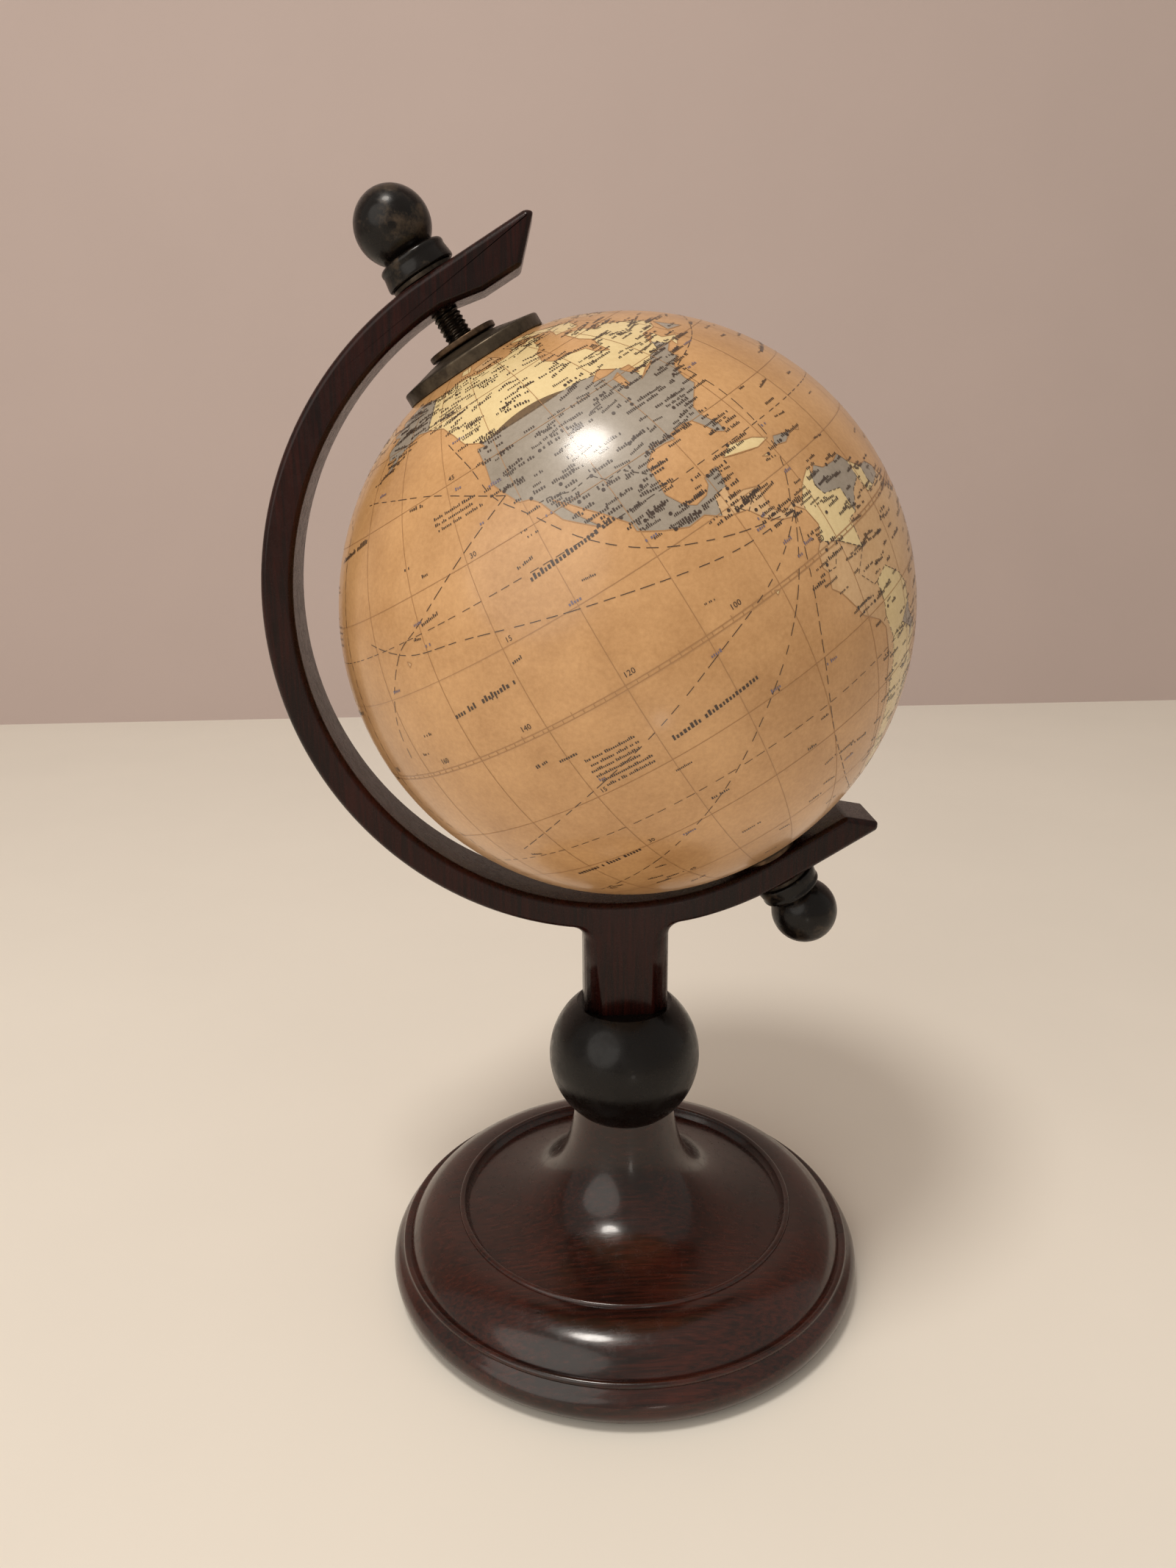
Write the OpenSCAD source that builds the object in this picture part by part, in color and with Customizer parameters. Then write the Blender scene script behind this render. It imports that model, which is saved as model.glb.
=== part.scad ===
// Desktop globe on a turned stand: a globe that spins on a leaning threaded
// rod, held by a C shaped arm that stands on a ball and a turned base.

/* [Globe] */
// Diameter of the printed globe
globe_d = 127; // [115:1:140]
// Lean of the globe's axis from upright, in degrees
tilt = 31; // [18:1:34]
// Wall of the pressed shell under the map
shell_t = 2; // [1.5:0.5:3]
// Radius of the turned cap on the north pole
cap_r = 16.3; // [13:0.1:19]

/* [Arm] */
// Clear space between the globe and the arm's inner edge
arm_gap = 7.4; // [6:0.1:12]
// Thickness of the arm, measured outwards from the globe
arm_t = 6.8; // [6:0.1:10]
// Width of the board that the arm and its stem are cut from
arm_w = 16; // [15:0.5:22]
// How far each end of the arm reaches past the rod
tip_reach = 25.5; // [20:0.5:30]
// Height of the square stem below the arm
stem_h = 22.1; // [20:0.1:30]
// Breadth of the stem across the front
stem_w = 20.4; // [19:0.1:22]

/* [Base] */
// Diameter of the turned base
base_d = 121; // [112:1:140]
// Diameter of the ball between base and stem
ball_d = 37.8; // [36:0.2:42]
// Height of the neck that the ball sits on
neck_z = 46.4; // [44:0.2:52]

/* [Rod and knobs] */
// Diameter of the threaded rod through the globe
rod_d = 6; // [5:0.5:6.5]
// Diameter of the ball on each knob
knob_d = 16; // [15:0.5:20]
// Thickness of the washer under each knob
knob_washer_t = 1.2; // [0.8:0.1:2]

/* [Hidden] */
$fn = 96;
fit = 0.05;
slack = 0.1;

globe_r = globe_d / 2;
skin_t = 0.3;
shell_r = globe_r - skin_t;
hollow_r = shell_r - shell_t;
ring_half_h = 5;
ring_t = 2.5;
rod_r = rod_d / 2;
bore_r = rod_r + fit;
bush_r = rod_r + 2;
bush_flange_r = bush_r + 3;
bush_flange_t = 2.7;
bush_len = 8.4;

cap_rim_h = 2.8;
cap_rise = 2.2;
cap_top_r = 5.8;
cap_seat_z = sqrt(globe_r * globe_r - cap_r * cap_r);
cap_top_z = cap_seat_z + cap_rim_h + cap_rise;
washer_r = 7.8;
washer_t = 1.3;
south_cap_r = 12;
thrust_t = 1.5;

arm_shift = 3.4;
arm_in_r = globe_r + arm_gap;
arm_out_r = arm_in_r + arm_t;
arm_top = arm_shift + arm_out_r;
top_pad = arm_top - 8.5;
arm_low = arm_shift - arm_out_r;
low_pad = arm_shift - arm_in_r;
tip_drop = 1.1;
tip_slant = 7.3;

felt_t = 1;
base_r = base_d / 2;
foot_r = 4.6;
bead_r = 0.9;
dome_r = 13.7;
dome_in = 17;
dome_z = 5.5;
line_r = 0.8;
flare_waist = 10;
flare_k = 61.35;
flare_z = 6.9;
neck_r = flare_waist + pow(flare_k / (neck_z - flare_z), 2);

ball_r = ball_d / 2;
ball_z = neck_z + sqrt(ball_r * ball_r - neck_r * neck_r);
ball_flat_r = 11.9;
ball_top = ball_z + sqrt(ball_r * ball_r - ball_flat_r * ball_flat_r);

arm_cz = ball_top + stem_h + arm_out_r;
globe_z = arm_cz - arm_shift * cos(tilt);
arm_cx = -arm_shift * sin(tilt);
stem_cut = 4.4;
fillet_r = 4;

bolt_r = 4;
bolt_hole_r = 4.2;
bolt_head_h = 5.3;
bolt_head_af = 13;
well_r = 12;
well_z = 10;
bolt_washer_r = 10;
bolt_washer_t = 1.6;
insert_r = 6;
insert_low = ball_top + 1;
insert_top = ball_top + stem_h - 3;

pitch = 1;
thread_h = 0.45;
knob_r = knob_d / 2;
collar_r = knob_r - 0.4;
collar_h = 4.6;
ball_up = knob_r + 2.8;
knob_neck_z = collar_h + 0.5;
knob_insert_r = rod_r + 1.2;
knob_insert_h = 8;
knob_well_h = ball_up + 2;

// Points along an arc about [x, y], from angle a to angle b
function arc(x, y, r, a, b, steps = 12) =
    [for (i = [0:steps]) let (t = a + (b - a) * i / steps) [x + r * cos(t), y + r * sin(t)]];

// Radius of the base's trumpet at height z
function flare_at(z) = flare_waist + pow(flare_k / (z - flare_z), 2);

// Height of the base's trumpet at radius r
function flare_height(r) = flare_z + flare_k / sqrt(r - flare_waist);

// Puts its children on the leaning axis, with the globe's centre as origin
module on_axis() {
    translate([0, 0, globe_z]) rotate([0, -tilt, 0]) children();
}

// A flat ring on the axis between two heights
module ring(low, high, outer, inner) {
    translate([0, 0, low]) difference() {
        cylinder(r = outer, h = high - low);
        translate([0, 0, -1]) cylinder(r = inner, h = high - low + 2);
    }
}

// ---- Base ----

module base() {
    disc_r = base_r - 19.9;
    disc_z = flare_height(disc_r);
    flare_steps = 16;
    profile = concat(
        [[bolt_hole_r, well_z], [well_r, well_z], [well_r, felt_t]],
        arc(base_r - foot_r, felt_t + foot_r, foot_r, -90, 62),
        arc(base_r - 3.5, 10.7, bead_r, -35, 120, 6),
        arc(base_r - dome_in, dome_z, dome_r, 25, 88),
        arc(base_r - 18.1, dome_z + dome_r, line_r, 0, 180, 6),
        [for (i = [0:flare_steps]) let (z = disc_z + (neck_z - disc_z) * pow(i / flare_steps, 1.6))
            [flare_at(z), z]],
        [[bolt_hole_r, neck_z]]);
    color("#3b1710") rotate_extrude() polygon(profile);
}

module base_felt() {
    color("#1d211b") cylinder(r = base_r - foot_r - 0.9, h = felt_t);
}

module ball_knop() {
    color("#17110e") difference() {
        intersection() {
            translate([0, 0, ball_z]) sphere(r = ball_r);
            translate([0, 0, neck_z]) cylinder(r = ball_r + 1, h = ball_top - neck_z);
        }
        translate([0, 0, neck_z - 1]) cylinder(r = bolt_hole_r, h = ball_top - neck_z + 2);
    }
}

// ---- Column fastening ----

module column_bolt() {
    head_top = well_z - bolt_washer_t;
    color("#8b8d90") union() {
        translate([0, 0, head_top - bolt_head_h])
            cylinder(r = bolt_head_af / 2 / cos(30), h = bolt_head_h, $fn = 6);
        translate([0, 0, head_top - 0.5]) cylinder(r = bolt_r, h = insert_top - 1 - head_top + 0.5);
    }
}

module column_washer() {
    color("#9a9c9f") ring(well_z - bolt_washer_t, well_z, bolt_washer_r, bolt_hole_r);
}

module stem_insert() {
    color("#b08d4a") ring(insert_low, insert_top, insert_r, bolt_r);
}

// ---- Arm ----

// The arm's side view about the globe's centre, with the axis pointing up
module arm_outline() {
    pad_left = -sqrt(arm_in_r * arm_in_r - pow(top_pad - arm_shift, 2));
    difference() {
        translate([0, arm_shift]) circle(r = arm_out_r, $fn = 180);
        translate([0, arm_shift]) circle(r = arm_in_r, $fn = 180);
        translate([0, -2 * arm_out_r]) square([2 * arm_out_r, 4 * arm_out_r]);
    }
    polygon([[pad_left, top_pad], [tip_reach - tip_slant, top_pad], [tip_reach, arm_top - tip_drop],
        [0, arm_top], [pad_left, top_pad + 4]]);
    polygon([[-2, low_pad - 2], [0, low_pad], [tip_reach - tip_slant + 1.5, low_pad],
        [tip_reach, arm_low + 1.6], [tip_reach - 1, arm_low], [0, arm_low]]);
}

// The stem's outline from the front, with a round fillet up into the arm
module stem_outline() {
    half = stem_w / 2;
    reach = arm_out_r + fillet_r;
    for (side = [-1, 1]) {
        x = side * (half + fillet_r);
        z = arm_cz - sqrt(reach * reach - pow(x - arm_cx, 2));
        difference() {
            polygon([[0, z], [x, z], [x, z + fillet_r + 2], [0, z + fillet_r + 2]]);
            translate([x, z]) circle(r = fillet_r);
        }
    }
}

module arm() {
    half = stem_w / 2;
    deep = arm_w / 2;
    color("#2a100b") difference() {
        union() {
            on_axis() rotate([90, 0, 0]) linear_extrude(height = arm_w, center = true) arm_outline();
            rotate([90, 0, 0]) linear_extrude(height = arm_w, center = true) stem_outline();
            translate([0, 0, ball_top]) linear_extrude(height = stem_h + 3)
                polygon([[-half, stem_cut - deep], [stem_cut - half, -deep], [half - stem_cut, -deep],
                    [half, stem_cut - deep], [half, deep - stem_cut], [half - stem_cut, deep],
                    [stem_cut - half, deep], [-half, deep - stem_cut]]);
        }
        on_axis() translate([0, 0, -2 * globe_r]) cylinder(r = rod_r, h = 4 * globe_r);
        on_axis() translate([0, 0, low_pad]) cylinder(r = washer_r + 0.4, h = thrust_t);
        translate([0, 0, ball_top - 1]) cylinder(r = insert_r, h = insert_top - ball_top + 1);
    }
}

// ---- Rod ----

module axle_rod() {
    top = arm_top + knob_washer_t + knob_well_h - 1.2;
    low = arm_low - knob_washer_t - knob_well_h + 1.2;
    from = cap_top_z + washer_t + 0.3;
    turns = floor((top_pad - from) / pitch);
    root = rod_r - thread_h;
    profile = concat([[0, low], [rod_r, low]],
        [for (i = [0:turns - 1]) each [[rod_r, from + pitch * i],
            [root, from + pitch * (i + 0.4)], [root, from + pitch * (i + 0.5)],
            [rod_r, from + pitch * (i + 0.9)]]],
        [[rod_r, top], [0, top]]);
    color("#4a4641") on_axis() rotate_extrude() polygon(profile);
}

// ---- Globe ----

module shell(outer, inner) {
    difference() {
        sphere(r = outer);
        sphere(r = inner);
        translate([0, 0, -outer - 1]) cylinder(r = bush_r, h = 2 * outer + 2);
    }
}

module map_skin() {
    color("#d3a266") on_axis() shell(globe_r, shell_r);
}

module half_globe(side) {
    far = 2 * globe_r;
    color("#a08a6a") on_axis() intersection() {
        shell(shell_r, hollow_r);
        translate([0, 0, side > 0 ? 0 : -far]) cylinder(r = far, h = far);
    }
}

module globe_north_half() { half_globe(1); }

module globe_south_half() { half_globe(-1); }

module equator_ring() {
    color("#8d7a5c") on_axis() difference() {
        intersection() {
            sphere(r = hollow_r, $fn = 360);
            translate([0, 0, -ring_half_h]) cylinder(r = globe_r, h = 2 * ring_half_h);
        }
        translate([0, 0, -ring_half_h - 1])
            cylinder(r = hollow_r - ring_t, h = 2 * ring_half_h + 2, $fn = 360);
    }
}

// A flanged bush in the hole at a pole; side is 1 for north and -1 for south
module bush(side) {
    top = sqrt(globe_r * globe_r - bush_r * bush_r);
    color("#c9b27c") on_axis() rotate([side > 0 ? 0 : 180, 0, 0]) difference() {
        union() {
            translate([0, 0, top - bush_len]) cylinder(r = bush_r, h = bush_len);
            intersection() {
                sphere(r = hollow_r);
                translate([0, 0, hollow_r - bush_flange_t])
                    cylinder(r = bush_flange_r, h = bush_flange_t + 1);
            }
        }
        translate([0, 0, top - bush_len - 1]) cylinder(r = bore_r, h = bush_len + 2);
    }
}

module north_bush() { bush(1); }

module south_bush() { bush(-1); }

module north_cap() {
    rim_z = cap_seat_z + cap_rim_h;
    color("#4a4238") on_axis() difference() {
        rotate_extrude() polygon([[bore_r, cap_seat_z], [cap_r - 0.4, cap_seat_z],
            [cap_r, cap_seat_z + 0.5], [cap_r, rim_z - 0.5], [cap_r - 0.5, rim_z],
            [cap_top_r, cap_top_z], [bore_r, cap_top_z]]);
        sphere(r = globe_r);
    }
}

module north_washer() {
    color("#6b5a49") on_axis() ring(cap_top_z, cap_top_z + washer_t, washer_r, bore_r);
}

module south_cap() {
    seat = sqrt(globe_r * globe_r - south_cap_r * south_cap_r);
    low = -low_pad - thrust_t - slack;
    color("#4a4238") on_axis() rotate([180, 0, 0]) difference() {
        rotate_extrude() polygon([[bore_r, seat], [south_cap_r, seat], [south_cap_r, seat + 1],
            [south_cap_r - 3, low], [bore_r, low]]);
        sphere(r = globe_r);
    }
}

module south_washer() {
    color("#6b5a49") on_axis() ring(low_pad, low_pad + thrust_t, washer_r, rod_r);
}

// ---- Knobs ----

// A turned knob on the axis, with its base at 0 and its ball pointing up
module knob() {
    start = asin((knob_neck_z - ball_up) / knob_r);
    profile = concat(
        [[knob_insert_r, 0], [collar_r - 0.1, 0], [collar_r, 0.6], [collar_r - 0.3, 2.6]],
        arc(collar_r - 1.2, collar_h - 1, 0.95, 0, 90, 5),
        [[collar_r - 1.9, collar_h]],
        arc(0, ball_up, knob_r, start, 90, 20),
        [[0, knob_well_h], [bore_r, knob_well_h], [bore_r, knob_insert_h],
            [knob_insert_r, knob_insert_h]]);
    rotate_extrude() polygon(profile);
}

// Puts its children under one end of the arm's rod; side is 1 for the top
module at_knob(side, out) {
    on_axis() rotate([side > 0 ? 0 : 180, 0, 0])
        translate([0, 0, (side > 0 ? arm_top : -arm_low) + out]) children();
}

module top_knob() { color("#16120f") at_knob(1, knob_washer_t) knob(); }

module bottom_knob() { color("#16120f") at_knob(-1, knob_washer_t) knob(); }

module knob_insert() { ring(0, knob_insert_h, knob_insert_r, bore_r); }

module top_knob_insert() { color("#b08d4a") at_knob(1, knob_washer_t) knob_insert(); }

module bottom_knob_insert() { color("#b08d4a") at_knob(-1, knob_washer_t) knob_insert(); }

module knob_washer() { ring(0, knob_washer_t, collar_r - 0.6, bore_r); }

module top_knob_washer() { color("#2b2724") at_knob(1, 0) knob_washer(); }

module bottom_knob_washer() { color("#2b2724") at_knob(-1, 0) knob_washer(); }

base();
base_felt();
ball_knop();
arm();
column_bolt();
column_washer();
stem_insert();
axle_rod();
map_skin();
globe_north_half();
globe_south_half();
equator_ring();
north_bush();
south_bush();
north_cap();
north_washer();
south_cap();
south_washer();
top_knob();
top_knob_insert();
top_knob_washer();
bottom_knob();
bottom_knob_insert();
bottom_knob_washer();
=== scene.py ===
"""Looks of the desktop globe: turned mahogany stand, C arm, printed globe, threaded rod and knobs."""
import math
import random

import bmesh
import bpy
from mathutils import Matrix, Vector
from mathutils.geometry import delaunay_2d_cdt, intersect_point_tri_2d


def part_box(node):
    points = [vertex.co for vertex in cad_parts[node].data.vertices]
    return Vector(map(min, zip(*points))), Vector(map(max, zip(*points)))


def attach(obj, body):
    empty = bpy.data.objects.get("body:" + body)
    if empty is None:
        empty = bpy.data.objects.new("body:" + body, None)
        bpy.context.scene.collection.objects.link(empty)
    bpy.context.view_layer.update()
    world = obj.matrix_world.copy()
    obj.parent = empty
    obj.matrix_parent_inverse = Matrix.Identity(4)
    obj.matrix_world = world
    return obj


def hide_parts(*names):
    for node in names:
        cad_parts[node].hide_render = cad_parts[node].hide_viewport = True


bl_info = {
    "name": "Desktop globe",
    "version": (1, 0, 0),
    "blender": (4, 5, 0),
    "location": "3D View > Sidebar > Globe",
    "description": "Builds the pieces of a desktop globe on a turned stand",
    "category": "Object",
}

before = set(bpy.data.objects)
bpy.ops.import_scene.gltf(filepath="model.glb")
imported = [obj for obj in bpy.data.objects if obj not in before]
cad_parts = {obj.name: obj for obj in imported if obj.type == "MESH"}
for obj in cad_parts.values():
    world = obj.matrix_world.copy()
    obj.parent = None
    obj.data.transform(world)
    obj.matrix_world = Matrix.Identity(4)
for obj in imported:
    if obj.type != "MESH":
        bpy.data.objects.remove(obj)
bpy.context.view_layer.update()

MM = 0.001
SKIN_LOW, SKIN_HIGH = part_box("map_skin")
GLOBE_R = (SKIN_HIGH.y - SKIN_LOW.y) / 2 / MM
GLOBE_Z = (SKIN_HIGH.z + SKIN_LOW.z) / 2 / MM
TILT = math.radians(31)
AXIS = Matrix.Translation((0, 0, GLOBE_Z * MM)) @ Matrix.Rotation(-TILT, 4, "Y")
# turns the map so that the Americas face the front
MAP_TURN = 24.0
MAP_WEST, MAP_EAST, MAP_SOUTH, MAP_NORTH = -169.0, 191.0, -79.2, 75.4
INK_LIFT = 0.04
NECK_Z = 46.4
BALL_Z, BALL_R, BALL_TOP = 60.65, 18.9, 75.34
ARM_X, ARM_Z, ARM_OUT, ARM_IN = -1.75, 175.14, 77.7, 70.9
ARM_HALF_W, STEM_HALF, FILLET = 8, 10.2, 4
# heights along the leaning rod
ROD_LOW, ROD_HIGH, ROD_R, THREAD, PITCH = -86.5, 93.3, 3.0, 0.45, 1.0
TOP_SEAT, LOW_SEAT, KNOB_WASHER = 81.1, -74.3, 1.2
KNOB_BORE = 4.2

CAMERA_AT = Vector((-0.02495, -0.26555, 0.21322))
CAMERA_RIGHT = Vector((0.99800, -0.06286, -0.00643))
CAMERA_UP = Vector((0.02450, 0.29123, 0.95634))
CAMERA_AHEAD = Vector((0.05824, 0.95458, -0.29219))
STAGE_HALF, WALL_BACK, WALL_TOP = 3, 0.62, 3
# name, direction from the globe, distance, width (0 is the panel's own), watts, tint
LAMPS = (
    ("main", (-0.224, -0.305, 0.926), 1.0, 0, 5.0, "#FFF8EF"),
    ("front", (-0.62, -0.7, 0.42), 1.6, 1.6, 9.0, "#FFF9F0"),
    ("low", (0.115, -0.885, -0.45), 0.33, 0.03, 0.01, "#FFF7EC"),
)

SEA, CREAM, GREY, BUFF = range(4)

COASTS = {
    "americas": """-168,65.6 -163,67 -166,68.3 -156.5,71.2 -149,70.4 -141,69.6 -135,69 -128,70 -120,69.6
        -115,68.2 -108,68 -102,67.8 -97,68.3 -94,69.5 -94.5,71.8 -92,69.7 -88,68.5 -85.5,69.5 -81.5,69.2
        -82,67 -86.5,66.4 -88,64 -92.5,62.2 -94.6,59 -92.5,57 -88,56.5 -82.3,55.2 -82,52.9 -79.3,51.3 -79,54
        -76.7,56.3 -78.4,58.8 -77.6,62.4 -74,62.3 -70,61 -69.5,58.8 -66,58.8 -64.5,60.3 -61.5,57 -57.3,54.6
        -55.8,52.2 -60,50.2 -66.4,50.2 -70,47.2 -65,49.2 -64.3,48.8 -65,47 -61.5,45.8 -60,46.3 -63.5,44.6
        -66,43.5 -65,45.3 -67,44.8 -70.2,43.6 -70.6,42 -70,41.7 -74,40.6 -75.5,38.5 -76,37 -75.6,35.3
        -78,33.9 -81.2,31.8 -81.4,30 -80.1,26.8 -80.4,25.2 -81.8,26 -82.8,28 -84,30 -86,30.4 -89.3,30.2
        -89.4,29 -91.5,29.4 -94.5,29.5 -97.2,27.8 -97.3,25.9 -97.8,22.3 -96.2,19.3 -94.5,18.2 -92,18.6
        -90.6,19.8 -90.3,21 -87.1,21.5 -87.5,19.5 -88.1,18 -88.8,15.9 -85.9,15.9 -83.2,15 -83.6,12.5 -83.7,11
        -82,9 -79.8,9.5 -77.4,8.7 -75.5,10.5 -74.2,11.3 -71.6,12.4 -71.5,11 -70,12 -68.2,10.6 -64.5,10.2
        -62,10.6 -60.6,8.6 -57.5,6.2 -54,5.9 -51.7,4.2 -50,1.7 -50.5,-0.3 -48,-0.8 -44.2,-2.6 -41.5,-2.9
        -38.5,-3.7 -35.3,-5.4 -34.8,-7.5 -37,-11 -39,-13 -39.2,-17.5 -40.8,-22 -44,-23 -48,-25.5 -48.6,-28.3
        -52,-32.2 -54.2,-34.8 -58.3,-34 -57,-36.5 -58.3,-38.4 -62,-38.9 -62.5,-41 -65,-41 -65.3,-43.5
        -67.5,-46 -65.8,-47.8 -69,-50.8 -68.3,-52.5 -65.2,-54.7 -68.5,-55.5 -72,-54 -75.2,-51.5 -75.6,-47
        -73,-44.5 -73.8,-41.5 -73.4,-38 -71.6,-33 -71.5,-29.5 -70.4,-25 -70.2,-19.5 -71.8,-17.2 -76.2,-14
        -77.2,-12 -79.5,-7.8 -81.2,-6 -80.3,-3.4 -81,-2.2 -80.3,0.5 -78.7,1.7 -77.2,4 -77.9,7.2 -79.5,8.9
        -80.3,7.4 -83,8.3 -85.8,10.2 -87.6,12.9 -91.5,14 -94.5,16.2 -97.8,16 -101.8,17.8 -105.5,20 -105.5,21.5
        -108.5,25.2 -112.5,29.5 -114.8,31.8 -112.8,28 -109.5,23.2 -112.2,25.5 -115,28 -117.1,32.6 -118.5,34
        -120.6,34.6 -122.5,37.5 -124.3,40.4 -124.1,44 -124.6,48.3 -122.5,48 -123.3,49.1 -127.5,51 -130.4,54.6
        -134,58 -139.5,59.6 -146,60.8 -151.5,59.3 -154,58.5 -158,56.2 -164.8,54.6 -160.5,56 -157.5,58.7
        -162,58.7 -165.5,61.3 -161,64 -166,64.5""",
    "old world": """25.7,71.1 31,70 41,67.7 33,66.7 38,64 44,66 44,68.3 54,68.3 60.5,69.5 67,69 68,73 73,71.5
        73.5,68 80.5,72.5 87,75 104.3,75.3 113,73.8 127,73 131,71 140,72.5 152,71 160.5,69.7 170.5,69.8 180,69
        190.2,66.1 187.5,64.4 179.5,62.4 170.3,60 163.2,59.8 162.5,56.2 156.7,51 155.7,56.8 163,61.7
        156.5,61.6 151,59.3 142.5,59.3 135.2,54.7 140.8,53 140.5,48.5 135.5,44.5 132,43.2 127.6,39.8 129.4,36
        126.4,34.5 126,37.7 121.6,39 121,40.8 117.8,38.8 122.3,37.2 119.2,35 121.9,31.5 121.8,28.5 117,23.6
        110.5,21.2 108.2,21.6 105.8,19 109.2,13 106.7,10.3 105,8.7 102.5,12.2 100.5,13.5 99.3,10.5 103.4,4
        104,1.4 101.3,2.8 98.3,8 98,14 97.5,16.8 94.3,16 94.2,19 91.5,22.7 88,21.7 85,19.6 80.2,15.3 80.2,13
        79.8,10.3 77.6,8.1 74.8,13 72.8,19 72.6,21.6 69,22.4 67,24.9 61.5,25.1 57,27 52.5,27.5 48.5,30.2
        50,26.7 51.5,25.5 54.5,24.2 56.3,26 59.8,22.4 55.3,17.5 52,15.6 45,12.8 43.3,13 42.6,16.5 39,21.3
        34.9,28 32.5,30 34,26.5 37.2,21 38.5,18 43.2,12.5 44.5,10.5 51.2,11.9 48,4.5 42,-1 39.3,-5 40.6,-11
        40.7,-15 35,-20 35.5,-23.8 32.7,-26 30.5,-30.5 26,-33.8 20,-34.8 18.4,-33.5 15.2,-27 11.8,-18
        13.6,-12 12,-5.5 9,-1 9.7,3.8 6,4.3 1.5,6.2 -7.5,4.4 -13.2,8.8 -16.8,13 -17.5,14.7 -16.3,19.5
        -17,21.3 -13.2,27.6 -9.7,31.4 -6,35.8 -2,35.1 10,37.3 11,34 15.3,32.3 20,30.5 23,32.6 29,31 32.3,31.2
        34.5,31.5 36,35.8 36,36.8 30.5,36.5 27.3,37 26.3,40 23.7,40.3 24,38 22.5,36.5 19.5,40 19,42.2
        13.7,45.6 12.4,44.3 18.5,40.2 16,38 15.7,40 10.3,43.8 8.7,44.3 3.2,43 3,41.8 -0.3,39.4 -2,36.7
        -5.6,36.6 -8.9,37 -9.4,38.8 -8.9,43.2 -1.6,43.4 -1.2,46 -4.7,48.4 -1.6,49.6 1.6,50.7 4.3,52 8.2,54
        8.3,57 10.6,57.6 10.9,54.2 14.2,54 19,54.4 21.2,57 24,57.3 23.6,59.3 30,59.9 22.8,60.1 21.4,61.5
        25.3,65 21.5,64.5 17.3,61.5 18.5,60 16.5,57 13,55.4 11.2,58.5 10.5,59.3 7,58.1 5.1,60.5 5.5,62.3
        11,64.6 14.5,68 19,70""",
    "australia": """142.5,-10.8 145.4,-15 148.5,-20 153,-25 153.5,-29 150,-37 146.4,-39 143.5,-38.8 140.5,-38
        137.8,-35.6 138,-33.2 135.7,-34.9 131.3,-31.5 124,-33 118,-35 115,-34.3 113.5,-26 114,-22 119,-20
        122.2,-18 126,-14 129.6,-14.9 131,-12.2 136.8,-12.2 135.5,-14.9 139.5,-17.6 141.2,-16 141.7,-12.8""",
    "greenland": """-68,75.3 -58,75.3 -54.5,71 -53.5,67 -51,63.5 -44,60 -40,64.5 -32.5,68 -22.5,70.5 -20,75.3""",
    "south continent": """-168.9,-77.5 -158,-77 -148,-75.5 -130,-74.3 -102,-73.5 -80,-73 -67,-68.5 -57.5,-63.3
        -61,-68 -62,-74.5 -70,-77 -60,-79 -36,-78 -22,-74 -8,-70.8 20,-70 40,-69 55,-66.3 70,-68 88,-66.5
        110,-66 135,-66.2 155,-69 170.5,-71.5 165,-77 180,-78.3 190.9,-77.5 190.9,-79.1 -168.9,-79.1""",
    "baffin": "-61.5,66.7 -68,63 -78,64.5 -73,67.8 -80,70 -89,73.5 -81,73.8 -72,71.5",
    "victoria": "-117,71.5 -105,73 -102,69.5 -115,69.2",
    "banks": "-125,72 -119,71.5 -117,74.5 -124,74.3",
    "newfoundland": "-59.3,47.7 -53,46.8 -55.5,51.5",
    "cuba": "-84.9,21.9 -82,23.1 -77,21.8 -74.2,20.2 -77.5,19.9",
    "hispaniola": "-74.4,18.5 -73,19.9 -68.5,18.7 -71.5,17.7",
    "jamaica": "-78.3,18.3 -76.3,18.2 -77.2,17.8",
    "puerto rico": "-67.2,18.4 -65.7,18.4 -66.4,17.9",
    "hawaii": "-156,20.2 -155,19.6 -155.7,19",
    "falklands": "-61,-51.8 -58,-51.6 -59.5,-52.3",
    "galapagos": "-91.4,0 -90.4,-0.4 -91.2,-1",
    "britain": "-5.5,50.1 1.3,51.3 0,53.5 -2,56 -3,58.6 -5.8,57.5 -3,54.5 -5,52",
    "ireland": "-10,52 -6.3,52.3 -6,55.2 -10,54",
    "iceland": "-24,65.5 -22,64 -18.5,63.5 -13.6,65 -16.5,66.5 -22.5,66.3",
    "novaya": "52,71 57.5,70.7 66,75 56,73.5",
    "honshu": """130,31.3 132,34 136,33.6 140.5,35.3 142,39.5 141.3,41.4 139.8,38.8 136.8,37.2 132.5,35.4
        129.8,33.4""",
    "hokkaido": "140,41.5 145.5,43.3 141.8,45.5",
    "sakhalin": "142,46 143.5,49.3 142.8,54.3 142,51",
    "taiwan": "120.2,22.6 121.2,22 121.7,25.1",
    "luzon": "120.3,16 120.6,18.5 122.2,18.4 121.8,14.5 124,12.8 120.7,13.9",
    "mindanao": "122,7 125.5,6 126.4,8.2 125,10",
    "borneo": "109,1.5 111,-3 114.5,-4 116.3,-3 117.8,1 119,5.2 116.8,6.9 113.8,4",
    "sumatra": "95.3,5.6 98.5,3.9 103.5,-1 106,-3 105.8,-5.8 102,-4 98.8,1.5",
    "java": "105.2,-6.8 110.5,-6.6 114.5,-7.8 114.4,-8.7 108,-7.8",
    "sulawesi": "119.5,-5.4 120.3,-3 119.8,0.5 125,1.5 121.3,-1 122.5,-4.8",
    "new guinea": """131,-0.8 134.2,-0.8 137.8,-1.6 144.5,-3.9 147.8,-6 150.7,-10.4 144.5,-7.8 141,-9.1
        138,-8.3 138,-5.5 133,-4""",
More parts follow.
